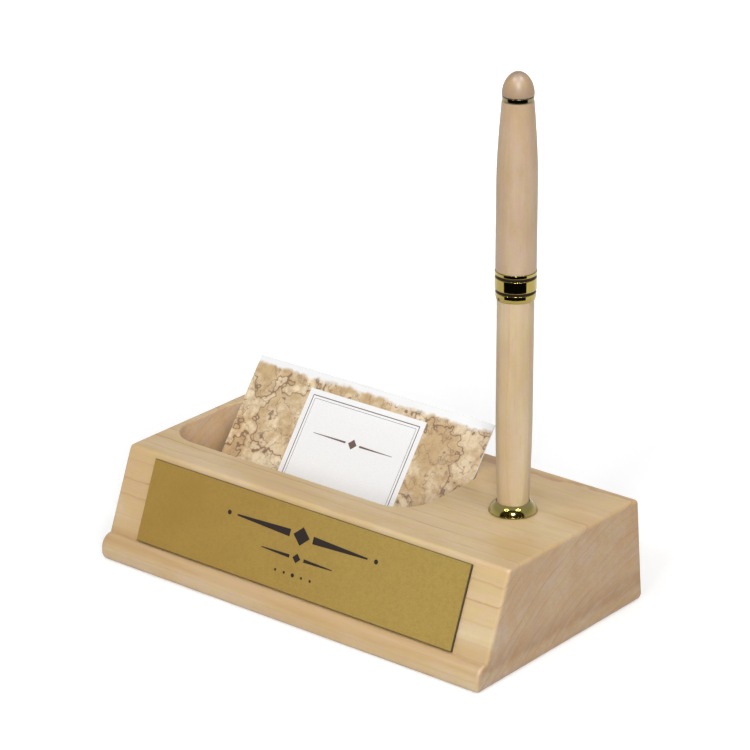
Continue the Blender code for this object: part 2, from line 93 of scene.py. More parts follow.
# Socket and pen, heights from the nib's tip
SEAT_GAP = 0.2 * MM
SEAM_GAP = 0.05 * MM
FILM_GAP = 0.1 * MM
FLANGE_RADIUS = 7.0 * MM
FLANGE_LIP = 0.46 * MM
FLANGE_FOOT = 0.04 * MM
FLANGE_STEP = 0.1 * MM
SKIRT_HEIGHT = 2.6 * MM
SKIRT_BULGE = 0.3 * MM
MOUTH_ROUND = 0.15 * MM
SOCKET_BORE_PLAY = 0.25 * MM
SLEEVE_WALL = 0.85 * MM
SLEEVE_LENGTH = 11.4 * MM
SEAT_LAND = 1.5 * MM
NIB_BELOW_TOP = 12.5 * MM
WELL_RADIUS = 3.6 * MM
WELL_BELOW_NIB = 5.0 * MM
NIB_LENGTH = 12.7 * MM
NIB_COLLAR = 1.0 * MM
NIB_TIP_RADIUS = 1.6 * MM
LOWER_BARREL_LENGTH = 62.7 * MM
LOWER_TAPER_LENGTH = 29.0 * MM
LOWER_END_RADIUS = 4.38 * MM
LOWER_RADIUS = 5.13 * MM
BAND_LENGTH = 8.3 * MM
BAND_FOOT_RADIUS = 5.2 * MM
BAND_EDGE_RADIUS = 5.68 * MM
BAND_TOP_RADIUS = 5.85 * MM
BAND_BULGE = 0.15 * MM
BAND_LIP = 0.25 * MM
BAND_FOOT_HEIGHT = 1.1 * MM
BAND_FOOT_ROUND = 0.15 * MM
BAND_FOOT_LEAN = math.radians(11.0)
GROOVE_WIDTH = 0.75 * MM
GROOVE_DEPTH = 0.45 * MM
GROOVE_LOW = 2.55 * MM
GROOVE_HIGH = 6.78 * MM
INLAY_SINK = 0.12 * MM
UPPER_BARREL_LENGTH = 47.4 * MM
UPPER_TAPER_LENGTH = 24.0 * MM
UPPER_RADIUS = 5.65 * MM
UPPER_END_RADIUS = 4.4 * MM
RING_HEIGHT = 1.4 * MM
RING_RADIUS = 4.38 * MM
FINIAL_HEIGHT = 6.4 * MM
FINIAL_RADIUS = 4.42 * MM
FINIAL_FOOT_ROUND = 0.25 * MM
FINIAL_POINT = 1.06
TUBE_RADIUS = 3.5 * MM
STUD_RADIUS = 1.3 * MM
STUD_LENGTH = 3.5 * MM

# Fineness
TURN_STEPS = 96
ARC_STEPS = 16
LIP_STEPS = 8
BAND_FOOT_STEPS = 6
RIM_STEPS = 5
FINIAL_FOOT_STEPS = 4
EASE_SEGMENTS = 4
SMOOTH_ANGLE = math.radians(35.0)
EASED_ANGLE = math.radians(30.0)
MERGE_DISTANCE = 0.001 * MM
NO_AREA = 1e-15
NEAR_DESK = 0.1 * MM
FLAT_FACE_WEIGHT = 80

# Camera, solved from the photograph's corner points
CAMERA_PLACE = Vector((535.8, -651.0, 399.0)) * MM
CAMERA_AZIMUTH = math.radians(39.3)
CAMERA_ELEVATION = math.radians(21.69)
CAMERA_ROLL = math.radians(-0.25)
CAMERA_LENS = 153.8
SENSOR_WIDTH = 36.0

# Noise: the range that nearly all of its values keep to
NOISE_LOW = 0.3
NOISE_HIGH = 0.7

# Wood grain: noise scales per metre, and the shares kept of lengths along and round the rings
FIBRE_SCALE = 1500.0
STREAK_SCALE = 330.0
BLOTCH_SCALE = 60.0
HUE_SCALE = 420.0
MOTTLE_SCALE = 1300.0
FLECK_SCALE = 3400.0
END_STREAK_SCALE = 1100.0
FADE_SCALE = 75.0
SLOW_SWAY_SCALE = 34.0
QUICK_SWAY_SCALE = 190.0
FINE_SWAY_SCALE = 800.0
SLOW_SWAY = 4.5 * MM
QUICK_SWAY = 0.7 * MM
FINE_SWAY = 0.35 * MM
FIBRE_STRETCH = 0.05
SLOW_STRETCH = 0.14
QUICK_STRETCH = 0.35
BLOTCH_STRETCH = 0.45
HUE_STRETCH = 0.5
END_STRETCH = 0.3
ROUND_STRETCH = 0.09

# Growth rings, as parts of a ring's width, and the places of the piths
LINE_START = 0.84
LINE_FULL = 0.965
LINE_DROP = 0.975
SHADE_START = 0.25
SHADE_FULL = 0.95
BLOCK_RING = 2.7 * MM
BLOCK_PITH = (57.7 * MM, -94.4 * MM)
PEN_RING = 2.2 * MM
LOWER_PITH = (-24.0 * MM, 15.0 * MM)
UPPER_PITH = (-20.0 * MM, 22.0 * MM)
FINIAL_PITH = (-18.0 * MM, 20.0 * MM)

# How much each feature of the wood shows
BLOCK_LINES = 0.78
PEN_LINES = 0.12
RING_SHADE = 0.16
STREAKS = 0.34
FIBRES = 0.14
MOTTLING = 0.1
FLECKS = 0.22
EDGE_WARMTH = 0.3
END_STREAKS = 0.34
END_MOTTLING = 0.12

# Wood colours
MAPLE_PALE = (0.66, 0.505, 0.3)
MAPLE_WARM = (0.61, 0.42, 0.2)
MAPLE_END = (0.84, 0.775, 0.8)
# Block tints by face: painted light and shade, partly the wood's own tint
FRONT_LEFT_SHADE_AND_TONE = (0.93, 0.92, 0.96)
FRONT_RIGHT_LIGHT_AND_TONE = (0.98, 1.04, 1.18)
TOP_SHADE_AND_TONE = (0.96, 0.95, 0.91)
BACK_TONE = (0.94, 0.87, 0.72)
COOL_HUE = (1.01, 0.99, 1.05)
WARM_HUE = (0.99, 1.01, 0.93)
# Pocket walls lightened: painted light, with a pinker tint
CUT_WALL_LIGHT_AND_TONE = (1.05, 1.03, 1.22)
PEN_PALE = (0.68, 0.52, 0.33)
PEN_WARM = (0.61, 0.43, 0.24)
PEN_END = (0.85, 0.82, 0.8)
# Tints of the pen's pieces: partly the wood's own, partly painted light low down and painted shade higher up
LOWER_TONE_AND_LIGHT = (0.88, 0.9, 0.91)
UPPER_TONE_AND_SHADE = (0.74, 0.71, 0.75)
FINIAL_TONE_AND_SHADE = (0.575, 0.545, 0.565)
LINE_BROWN = (0.4, 0.185, 0.085)
HEART_BROWN = (0.47, 0.29, 0.12)
# Brown along the block's bead: partly a wood streak, partly painted crease shade
STREAK_AND_CREASE_SHADE_BROWN = (0.42, 0.245, 0.085)
FLECK_BROWN = (0.33, 0.2, 0.1)

# Metal, card and studio colours
GILT_PALE = (0.35, 0.265, 0.055)
GILT_DEEP = (0.32, 0.24, 0.045)
RING_PALE = (0.2, 0.165, 0.08)
RING_DEEP = (0.18, 0.145, 0.065)
# Plate colour from left to right: partly tint, partly painted sheen
PLATE_LEFT_TONE_AND_SHEEN = (0.375, 0.222, 0.043)
PLATE_RIGHT_TONE_AND_SHEEN = (0.438, 0.304, 0.08)
PLATE_CLOUD = (0.47, 0.31, 0.069)
PLATE_SPECK = (0.3, 0.192, 0.04)
PLATE_TOOTH = (0.335, 0.21, 0.041)
# Dark borders of the plate: partly its dark edge, partly painted shade
PLATE_ARRIS_AND_SHADE = (0.06, 0.04, 0.02)
PARCHMENT_TAN = (0.53, 0.37, 0.185)
PARCHMENT_PALE = (0.79, 0.66, 0.45)
STAIN_BROWN = (0.36, 0.22, 0.1)
AGED_BROWN = (0.4, 0.25, 0.11)
HALO_BROWN = (0.34, 0.2, 0.09)
VEIN_BROWN = (0.17, 0.085, 0.035)
WORN_WHITE = (0.8, 0.8, 0.8)
INK_BROWN = (0.12, 0.06, 0.04)
FLOOR_GREY = (0.6, 0.6, 0.6)
WHITE = (1.0, 1.0, 1.0)

# Light: even air, and for metal a pale tent that is open in front on a dim room
AIR_LIGHT = 0.24
TENT_TOP = (0.62, 0.66, 0.8)
FLASH_TINT = (0.84, 0.91, 1.0)
GLOW_NEAR = 0.48
GLOW_FAR = 0.85
OPEN_AZIMUTH = math.radians(32.8)
OPEN_TILT = math.radians(10.0)
OPEN_REACH = 0.14
OPEN_RIM = 6 * MM
OPEN_EDGE = 0.47
OPEN_FULL = 0.56
ROOM_DARK = (0.006, 0.006, 0.005)
ROOM_DIM = (0.34, 0.3, 0.2)
CLUTTER_SCALE = 16.0
PATCH_EDGE = 0.945
PATCH_FULL = 0.975
FLOOR_REACH = 2.5
GLOW_START = 0.08
GLOW_END = 0.4

# Lamps: what they aim at, and headings in degrees to the camera's right and above the desk
LAMPS_AIM = Vector((0.045, 0.007, 0.036))
UPPER_LEFT = (-56, 62)
UPPER_RIGHT = (50, 66)
OVER_CAMERA = (0, 39)
AT_CAMERA = (0, 22)
LEFT_OF_CAMERA = (-22, 42)
BEHIND = (180, 11)
ROOM_PATCH = (-3, 42)
LAMP_NEAR = 1.0
LAMP_MIDDLE = 1.2
LAMP_FAR = 1.3

# Places worked out from the sizes
LEFT = -BLOCK_LENGTH / 2
FRONT = -BLOCK_DEPTH / 2
BACK = BLOCK_DEPTH / 2
SLOPE_FOOT_Y = FRONT + BEAD_RADIUS
TOP_FRONT_Y = SLOPE_FOOT_Y + (BLOCK_HEIGHT - BEAD_TOP) * math.tan(FRONT_LEAN)
TOP_BACK_Y = BACK - BLOCK_HEIGHT * math.tan(BACK_LEAN)
POCKET_CENTRE_X = LEFT + POCKET_END_WALL + POCKET_LENGTH / 2
POCKET_CENTRE_Y = TOP_FRONT_Y + POCKET_FRONT_RIM + POCKET_WIDTH / 2
SLEEVE_BORE = LOWER_END_RADIUS + SOCKET_BORE_PLAY
LOWER_BARREL_FOOT = NIB_LENGTH + SEAT_GAP
LOWER_BARREL_TOP = LOWER_BARREL_FOOT + LOWER_BARREL_LENGTH
BAND_FOOT = LOWER_BARREL_TOP + SEAT_GAP
UPPER_BARREL_FOOT = BAND_FOOT + BAND_LENGTH + SEAT_GAP
UPPER_BARREL_TOP = UPPER_BARREL_FOOT + UPPER_BARREL_LENGTH
RING_FOOT = UPPER_BARREL_TOP + SEAT_GAP
FINIAL_FOOT = RING_FOOT + RING_HEIGHT + SEAT_GAP
FINIAL_TOP = FINIAL_FOOT + FINIAL_HEIGHT
SEAM_CLOSING = SEAT_GAP - SEAM_GAP
TUBE_BORE = TUBE_RADIUS + SEAT_GAP
STUD_BORE = STUD_RADIUS + SEAT_GAP
LIP_HOLD = BAND_LIP / LIP_STEPS


class Shader:
    """Short ways to add nodes to one node tree, a material's or the world's."""

    def __init__(self, name=None, tree=None):
        if name:
            self.material = bpy.data.materials.new(name)
            self.material.use_nodes = True
            tree = self.material.node_tree
            self.surface = tree.nodes["Principled BSDF"]
        self.tree = tree
        self.places = self.new("TexCoord").outputs
        self.here = self.places["Object"]

    def new(self, kind):
        return self.tree.nodes.new("ShaderNode" + kind)

    def put(self, socket, value):
        """Links a socket to an output, or gives it a fixed value."""
        if isinstance(value, bpy.types.NodeSocket):
            self.tree.links.new(value, socket)
        else:
            socket.default_value = value

    def put_colour(self, socket, colour):
        self.put(socket, colour if isinstance(colour, bpy.types.NodeSocket) else (*colour, 1.0))

    def set(self, **values):
        """Sets the surface's inputs, named in lower case with underscores."""
        for name, value in values.items():
            label = name.replace("_", " ").title().replace("Ior", "IOR")
            self.put(self.surface.inputs[label], value)

    def pair(self, kind, operation, first, second, output=0):
        node = self.new(kind)
        node.operation = operation
        self.put(node.inputs[0], first)
        self.put(node.inputs[1], second)
        return node.outputs[output]

    def math(self, operation, first, second=0.0):
        return self.pair("Math", operation, first, second)

    def vector(self, operation, first, second, output=0):
        return self.pair("VectorMath", operation, first, second, output)

    def times(self, first, second):
        return self.math("MULTIPLY", first, second)

    def plus(self, first, second):
        return self.math("ADD", first, second)

    def minus(self, first, second):
        return self.math("SUBTRACT", first, second)

    def split(self, vector):
        node = self.new("SeparateXYZ")
        self.put(node.inputs[0], vector)
        return node.outputs[:]

    def join(self, x, y, z):
        node = self.new("CombineXYZ")
        for socket, value in zip(node.inputs, (x, y, z)):
            self.put(socket, value)
        return node.outputs[0]

    def noise(self, vector, scale, detail=3.0, roughness=0.5):
        node = self.new("TexNoise")
        self.put(node.inputs["Vector"], vector)
        self.put(node.inputs["Scale"], scale)
        self.put(node.inputs["Detail"], detail)
        self.put(node.inputs["Roughness"], roughness)
        return node.outputs["Fac"]

    def random(self, value):
        node = self.new("TexWhiteNoise")
        node.noise_dimensions = "1D"
        self.put(node.inputs["W"], value)
        return node.outputs["Value"]

    def remap(self, value, low, high, new_low=0.0, new_high=1.0, smooth=True):
        node = self.new("MapRange")
        node.interpolation_type = "SMOOTHSTEP" if smooth else "LINEAR"
        for socket, number in zip(node.inputs, (value, low, high, new_low, new_high)):
            self.put(socket, number)
        return node.outputs[0]

    def spread(self, noise, new_low=0.0, new_high=1.0):
        """Maps a noise's usual range to another."""
        return self.remap(noise, NOISE_LOW, NOISE_HIGH, new_low, new_high)

    def mix(self, factor, first, second, blend="MIX"):
        """Blends two colours: the node's seventh and eighth inputs, and its third output."""
        node = self.new("Mix")
        node.data_type = "RGBA"
        node.blend_type = blend
        self.put(node.inputs["Factor"], factor)
        self.put_colour(node.inputs[6], first)
        self.put_colour(node.inputs[7], second)
        return node.outputs[2]

    def tint(self, colour, shade):
        return self.mix(1.0, colour, shade, "MULTIPLY")

    def bump(self, height, distance, strength=1.0):
        node = self.new("Bump")
        self.put(node.inputs["Strength"], strength)
        self.put(node.inputs["Distance"], distance)
        self.put(node.inputs["Height"], height)
        self.put(self.surface.inputs["Normal"], node.outputs[0])


def shaded(colour, share):
    return [share * part for part in colour]


def stretched(shader, along, across, share):
    """Coordinates for noise that is drawn out along the grain."""
    return shader.join(shader.times(along, share), *across)


def growth_rings(shader, along, across, distance, ring_width):
    """A thin line and a soft shade at each ring's end, uneven in strength, on swaying circles."""
    slow = stretched(shader, along, across, SLOW_STRETCH)
    quick = stretched(shader, along, across, QUICK_STRETCH)
    slow_sway = shader.times(shader.noise(slow, SLOW_SWAY_SCALE, 2.0), SLOW_SWAY)
    quick_sway = shader.times(shader.noise(quick, QUICK_SWAY_SCALE, 2.0), QUICK_SWAY)
    fine_sway = shader.times(shader.noise(quick, FINE_SWAY_SCALE, 2.0), FINE_SWAY)
    sway = shader.plus(shader.plus(slow_sway, quick_sway), fine_sway)
    rings = shader.math("DIVIDE", shader.plus(distance, sway), ring_width)
    phase = shader.math("FRACT", rings)
    strength = shader.remap(shader.random(shader.math("FLOOR", rings)), 0.1, 0.95, 0.22, 1.0)
    fade = shader.remap(shader.noise(quick, FADE_SCALE, 2.0), 0.36, 0.6, 0.3, 1.0)
    rise = shader.remap(phase, LINE_START, LINE_FULL)
    drop = shader.remap(phase, LINE_DROP, 1.0, 1.0, 0.0)
    line = shader.times(shader.times(rise, drop), shader.times(strength, fade))
    shade = shader.times(shader.remap(phase, SHADE_START, SHADE_FULL), strength)
    return line, shade


def end_streaks(shader, along, reach, distance, pith):
    """Streak noise that follows the growth rings across the end grain."""
    turn = math.hypot(*pith)
    tangent = shader.plus(shader.times(reach[0], -pith[1] / turn), shader.times(reach[1], pith[0] / turn))
    space = shader.join(distance, shader.times(tangent, ROUND_STRETCH), shader.times(along, END_STRETCH))
    return shader.noise(space, END_STREAK_SCALE, 3.0, 0.6)


def block_tones_and_shade(shader, parts, blotch, streak, body):
    """Painted light and shade by face, partly the wood's tint: the top darker and yellower behind, the
    front's left shaded, its right lit, the bead's top brown.
    """
    x, y, z = parts
    # Brown along the bead's top, under the plate: partly a wood streak, partly painted shade in the crease
    height = shader.plus(z, shader.times(blotch, 8 * MM))
    above = shader.remap(height, BEAD_TOP + 10 * MM, BEAD_TOP + 2 * MM)
    below = shader.remap(z, BEAD_TOP - 4 * MM, BEAD_TOP - 1.5 * MM, 0.2, 1.0)
    low = shader.times(shader.times(above, below), shader.remap(streak, 0.4, 0.6, 0.58, 0.93))
    # Tints by face: painted shade on the top and the front's left, painted light at the front's right
    front = shader.remap(y, TOP_FRONT_Y, TOP_FRONT_Y - 2 * MM)
    along = shader.mix(shader.remap(x, 0.0, 60 * MM), FRONT_LEFT_SHADE_AND_TONE, FRONT_RIGHT_LIGHT_AND_TONE)
    behind = shader.mix(shader.remap(y, 5 * MM, 25 * MM), TOP_SHADE_AND_TONE, BACK_TONE)
    body = shader.tint(body, shader.mix(front, behind, along))
    return shader.mix(low, body, STREAK_AND_CREASE_SHADE_BROWN)


def blotched(shader, parts, along, across, streak, pale, warm, tones_and_shade):
    """The ground colour: wide blotches, finer changes of hue, and a piece's own tint, which on the block is
    partly painted light and shade.
    """
    blotch = shader.noise(stretched(shader, along, across, BLOTCH_STRETCH), BLOTCH_SCALE, 4.0, 0.6)
    body = shader.mix(shader.remap(blotch, 0.38, 0.62), pale, warm)
    hue = shader.noise(stretched(shader, along, across, HUE_STRETCH), HUE_SCALE, 3.0)
    shade = shader.mix(shader.remap(hue, 0.4, 0.6), COOL_HUE, WARM_HUE)
    body = shader.tint(body, shade)
    return tones_and_shade(shader, parts, blotch, streak, body) if tones_and_shade else body


def end_grain(shader, body, along, mottle, streaks, warm, end_shade, ends_from):
    """The colour of the piece's ends, and of walls cut across the grain within it, which are painted paler:
    painted light in the pocket, with a pinker tint.
    """
    at_ends = shader.remap(shader.math("ABSOLUTE", along), ends_from - 1 * MM, ends_from)
    # Inside the pocket the walls are lightened: painted light, with a pinker tint
    colour = shader.tint(body, shader.mix(at_ends, CUT_WALL_LIGHT_AND_TONE, end_shade))
    colour = shader.mix(shader.remap(streaks, 0.44, 0.7, 0.0, END_STREAKS), colour, shaded(end_shade, 0.5))
    return shader.mix(shader.remap(mottle, 0.4, 0.7, 0.0, END_MOTTLING), colour, shaded(warm, 0.45))


def wood(name, grain_axis, pith, ring_width, pale, warm, lines, end_shade, ends_from=0.0, tones_and_shade=None):
    """Maple: growth lines round a distant pith, fibres along the grain, soft blotches, small flecks."""
    shader = Shader(name)
    parts = shader.split(shader.here)
    along = parts[grain_axis]
    across = [parts[axis] for axis in range(3) if axis != grain_axis]
    reach = [shader.minus(part, centre) for part, centre in zip(across, pith)]
    distance = shader.math("SQRT", shader.plus(*[shader.times(part, part) for part in reach]))
    line, ring_shade = growth_rings(shader, along, across, distance, ring_width)
    fibre_space = stretched(shader, along, across, FIBRE_STRETCH)
    fibre = shader.noise(fibre_space, FIBRE_SCALE, 4.0, 0.6)
    streak = shader.noise(fibre_space, STREAK_SCALE, 3.0, 0.55)
    mottle = shader.noise(shader.here, MOTTLE_SCALE, 3.0, 0.7)
    fleck = shader.remap(shader.noise(fibre_space, FLECK_SCALE, 1.0), 0.66, 0.76)
    body = blotched(shader, parts, along, across, streak, pale, warm, tones_and_shade)
    body = shader.mix(shader.remap(streak, 0.35, 0.75, 0.0, STREAKS), body, shaded(warm, 0.82))
    body = shader.mix(shader.times(ring_shade, RING_SHADE), body, HEART_BROWN)
    body = shader.mix(shader.times(line, lines), body, LINE_BROWN)
    fibres = shader.remap(fibre, NOISE_LOW, NOISE_HIGH, 0.0, FIBRES, smooth=False)
    body = shader.mix(fibres, body, shaded(warm, 0.62))
    body = shader.mix(shader.remap(mottle, 0.35, 0.7, 0.0, MOTTLING), body, shaded(warm, 0.7))
    body = shader.mix(shader.times(fleck, FLECKS), body, FLECK_BROWN)
    facing = shader.math("ABSOLUTE", shader.split(shader.places["Normal"])[grain_axis])
    streaks = end_streaks(shader, along, reach, distance, pith)
    end_colour = end_grain(shader, body, along, mottle, streaks, warm, end_shade, ends_from)
    turning = shader.times(shader.remap(facing, 0.2, 0.5), EDGE_WARMTH)
    body = shader.mix(turning, body, HEART_BROWN)
    shader.set(base_color=shader.mix(shader.remap(facing, 0.6, 0.9), body, end_colour))
    shader.set(roughness=shader.remap(fibre, 0.25, 0.75, 0.4, 0.56, smooth=False))
    shader.set(coat_weight=0.12, coat_roughness=0.3)
    shader.bump(shader.minus(shader.times(fibre, 0.6), shader.times(line, 0.5)), 0.03 * MM, 0.6)
    return shader.material


def block_wood():
    return wood("block_maple", 0, BLOCK_PITH, BLOCK_RING, MAPLE_PALE, MAPLE_WARM, BLOCK_LINES, MAPLE_END,
                ends_from=BLOCK_LENGTH / 2 - 1 * MM, tones_and_shade=block_tones_and_shade)


def pen_wood(name, pith, tone):
    """The pen's maple, toned for each turned piece: partly the wood's tint, partly painted light and shade,
    lighter low down and darker up to the finial.
    """
    pale = [part * shade for part, shade in zip(PEN_PALE, tone)]
    warm = [part * shade for part, shade in zip(PEN_WARM, tone)]
    return wood(name, 2, pith, PEN_RING, pale, warm, PEN_LINES, PEN_END)


def gilt(name, pale, deep):
    """Polished gold plating with faint polishing haze, under a clear lacquer."""
    shader = Shader(name)
    haze = shader.noise(shader.here, 900.0, 3.0)
    tone = shader.noise(shader.here, 160.0, 2.0)
    shader.set(base_color=shader.mix(tone, pale, deep), metallic=1.0)
    shader.set(roughness=shader.spread(haze, 0.03, 0.06), coat_weight=0.6, coat_roughness=0.04)
    shader.bump(haze, 0.001 * MM, 0.1)
    return shader.material


def drawn_brass():
    """Plain tube and rod stock with drawing marks along the pen."""
    shader = Shader("drawn_brass")
    x, y, z = shader.split(shader.here)
    marks = shader.noise(shader.join(x, y, shader.times(z, 0.03)), 4200.0, 2.0)
    tarnish = shader.noise(shader.here, 220.0, 3.0)
    shader.set(base_color=shader.mix(tarnish, (0.7, 0.52, 0.24), (0.58, 0.4, 0.16)))
    shader.set(roughness=shader.spread(marks, 0.22, 0.42), metallic=1.0)
    shader.bump(marks, 0.006 * MM, 0.5)
    return shader.material


def plate_satin():
    """Satin brass: a fine tooth, soft specks, a slow change along it that is partly tint and partly painted
    sheen, and dark arrises that are partly painted shade.
    """
    shader = Shader("plate_satin")
    place = shader.here
    tooth = shader.noise(place, 2400.0, 3.0, 0.7)
    speck = shader.noise(place, 900.0, 2.0, 0.6)
    cloud = shader.noise(place, 60.0, 3.0)
    x, y = shader.split(place)[:2]
    # Slow change along the sheet: partly tint, partly painted sheen
    tone = shader.mix(shader.remap(x, -PLATE_LENGTH / 2, PLATE_LENGTH / 2), PLATE_LEFT_TONE_AND_SHEEN, PLATE_RIGHT_TONE_AND_SHEEN)
    tone = shader.mix(shader.spread(cloud, 0.0, 0.3), tone, PLATE_CLOUD)
    tone = shader.mix(shader.remap(speck, 0.4, 0.7, 0.0, 0.35), tone, PLATE_SPECK)
    tone = shader.mix(shader.spread(tooth, 0.0, 0.4), tone, PLATE_TOOTH)
    # Darker arrises: partly the sheet's dark edge, partly painted shade in the gap under it
    shader.set(base_color=shader.mix(plate_arris_and_shade(shader, x, y), tone, PLATE_ARRIS_AND_SHADE))
    shader.set(roughness=shader.spread(tooth, 0.5, 0.64), metallic=0.7)
    shader.bump(tooth, 0.01 * MM, 0.4)
    return shader.material


def plate_arris_and_shade(shader, x, y):
    """How dark the sheet is near its long edges, and more widely near its right end: its dark edge, and
    painted shade of the gap under it.
    """
    edge, end = PLATE_HEIGHT / 2, PLATE_LENGTH / 2
    from_middle = shader.math("ABSOLUTE", shader.minus(y, edge))
    long_edges = shader.remap(from_middle, edge - 0.25 * MM, edge - 0.1 * MM, 0.0, 0.75)
    right_end = shader.remap(x, end - 0.45 * MM, end - 0.25 * MM, 0.0, 0.9)
    return shader.math("MAXIMUM", long_edges, right_end)


def uneven(name, colours, roughness, scale, detail=2.0):
    """A finish whose colour and roughness vary together under one noise."""
    shader = Shader(name)
    noise = shader.noise(shader.here, scale, detail)
    shader.set(base_color=shader.mix(noise, *colours), roughness=shader.spread(noise, *roughness))
    return shader, noise


def plate_edge():
    """The sheet's sawn edge, near black."""
    shader, _ = uneven("plate_edge", ((0.02, 0.014, 0.008), (0.06, 0.04, 0.02)), (0.4, 0.6), scale=3000.0)
    return shader.material


def black_fill(name, roughness, specular):
    """Warm black paint or enamel with a fine unevenness."""
    blacks = ((0.012, 0.007, 0.005), (0.026, 0.016, 0.012))
    shader, _ = uneven(name, blacks, (roughness, roughness + 0.12), scale=2800.0)
    shader.set(specular_ior_level=specular)
    return shader.material


def white_stock():
    """Uncoated white card with a faint paper tooth."""
    shader = Shader("card_white")
    fibre = shader.noise(shader.here, 1800.0, 4.0, 0.65)
    shader.set(base_color=shader.mix(shader.spread(fibre), (0.79, 0.79, 0.79), (0.83, 0.83, 0.83)))
    shader.set(roughness=shader.spread(fibre, 0.5, 0.62))
    shader.bump(fibre, 0.004 * MM, 0.4)
    return shader.material


def veined_parchment():
    """A generic printed parchment: tan clouds, pale worn patches and thin wandering brown veins."""
    shader = Shader("card_parchment")
    place = shader.here
    x, y = shader.split(place)[:2]
    cloud = shader.noise(place, 90.0, 4.0, 0.6)
    stain = shader.noise(shader.vector("ADD", place, (0.3, 0.1, 0.0)), 320.0, 5.0, 0.65)
    body = shader.mix(shader.remap(cloud, 0.4, 0.6), PARCHMENT_TAN, PARCHMENT_PALE)
    body = shader.mix(shader.remap(stain, 0.45, 0.75, 0.0, 0.55), body, STAIN_BROWN)
    body = shader.mix(shader.remap(x, 12 * MM, CARD_WIDTH / 2, 0.0, 0.3), body, AGED_BROWN)
    body = veined(shader, place, body, offset=0.0, scale=45.0, width=0.009, depth=0.8)
    body = veined(shader, place, body, offset=0.7, scale=95.0, width=0.01, depth=0.5)
    body = veined(shader, place, body, offset=1.9, scale=260.0, width=0.018, depth=0.22)
    torn = shader.plus(y, shader.times(cloud, 6 * MM))
    worn = shader.remap(torn, CARD_HEIGHT - 0.2 * MM, CARD_HEIGHT + 1.4 * MM)
    shader.set(base_color=shader.mix(worn, body, WORN_WHITE))
    shader.set(roughness=shader.spread(stain, 0.45, 0.6))
    shader.bump(stain, 0.003 * MM, 0.3)
    return shader.material


def veined(shader, place, body, offset, scale, width, depth):
    """Adds one net of veins, each with a soft halo, where a noise crosses its middle value."""
    field = shader.noise(shader.vector("ADD", place, (offset, -offset, 0.0)), scale, 4.0, 0.6)
    from_vein = shader.math("ABSOLUTE", shader.minus(field, 0.5))
    halo = shader.remap(from_vein, 0.0, 5 * width, 0.3 * depth, 0.0)
    body = shader.mix(halo, body, HALO_BROWN)
    return shader.mix(shader.remap(from_vein, 0.4 * width, width, depth, 0.0), body, VEIN_BROWN)


def ink(name, colour):
    shader = Shader(name)
    wear = shader.noise(shader.here, 2200.0, 3.0)
    worn = [part + 0.12 for part in colour]
    shader.set(base_color=shader.mix(shader.remap(wear, 0.55, 0.8, 0.0, 0.4), colour, worn))
    shader.set(roughness=shader.spread(wear, 0.4, 0.55))
    return shader.material


def film():
    """The pale film that holds the plate."""
    shader, _ = uneven("adhesive_film", ((0.74, 0.73, 0.69), (0.66, 0.64, 0.58)), (0.4, 0.6), scale=400.0)
    return shader.material


def refill_metal():
    """Plain grey metal with faint marks."""
    greys = ((0.55, 0.55, 0.56), (0.62, 0.61, 0.6))
    shader, marks = uneven("refill_metal", greys, (0.2, 0.34), scale=1900.0, detail=3.0)
    shader.set(metallic=1.0)
    shader.bump(marks, 0.003 * MM, 0.4)
    return shader.material


def linked(name, data):
    made = bpy.data.objects.new(name, data)
    bpy.context.collection.objects.link(made)
    return made


def link_mesh(name, mesh, materials, place=(0, 0, 0)):
    for material in materials:
        mesh.materials.append(material)
    made = linked(name, mesh)
    made.location = place
    return made


def plain_mesh(name, bm):
    """Turns every face outwards and hands the faces to a new mesh."""
    mesh = bpy.data.meshes.new(name)
    bmesh.ops.recalc_face_normals(bm, faces=bm.faces)
    bm.to_mesh(mesh)
    bm.free()
    return mesh


def smooth_mesh(name, bm):
    mesh = plain_mesh(name, bm)
    mesh.shade_smooth()
    mesh.set_sharp_from_angle(angle=SMOOTH_ANGLE)
    return mesh


def arc(centre, radii, start, end, steps=ARC_STEPS):
    """Points of an elliptical arc, with angles in degrees from the first axis."""
    points = []
    for step in range(steps + 1):
        angle = math.radians(start + (end - start) * step / steps)
        points.append((centre[0] + radii[0] * math.cos(angle), centre[1] + radii[1] * math.sin(angle)))
    return points


def turned_mesh(name, profile):
    """Spins a closed outline of (radius, height) points round Z."""
    bm = bmesh.new()
    points = [bm.verts.new((radius, 0.0, height)) for radius, height in profile]
    lines = [bm.edges.new((points[i], points[(i + 1) % len(points)])) for i in range(len(points))]
    bmesh.ops.spin(bm, geom=points + lines, cent=(0, 0, 0), axis=(0, 0, 1), angle=math.tau, steps=TURN_STEPS)
    bmesh.ops.remove_doubles(bm, verts=bm.verts, dist=MERGE_DISTANCE)
    flat = [face for face in bm.faces if face.calc_area() < NO_AREA]
    bmesh.ops.delete(bm, geom=flat, context="FACES_ONLY")
    loose = [edge for edge in bm.edges if not edge.link_faces]
    bmesh.ops.delete(bm, geom=loose, context="EDGES")
    return smooth_mesh(name, bm)


def stand_for(piece, node, body):
    """Lets a visible piece ride on a body in place of its solid."""
    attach(piece, body)
    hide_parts(node)


def turned_piece(node, profile, material, place, body):
    mesh = turned_mesh(node + "_turned", profile)
    stand_for(link_mesh(node + "_turned", mesh, [material], place), node, body)


def block_section():
    """The block's outline across its length, as (y, z) points."""
    bead = arc((SLOPE_FOOT_Y, BEAD_TOP - BEAD_RADIUS), (BEAD_RADIUS, BEAD_RADIUS), 180, 90)
    return [(FRONT, 0.0)] + bead + [(TOP_FRONT_Y, BLOCK_HEIGHT), (TOP_BACK_Y, BLOCK_HEIGHT), (BACK, 0.0)]


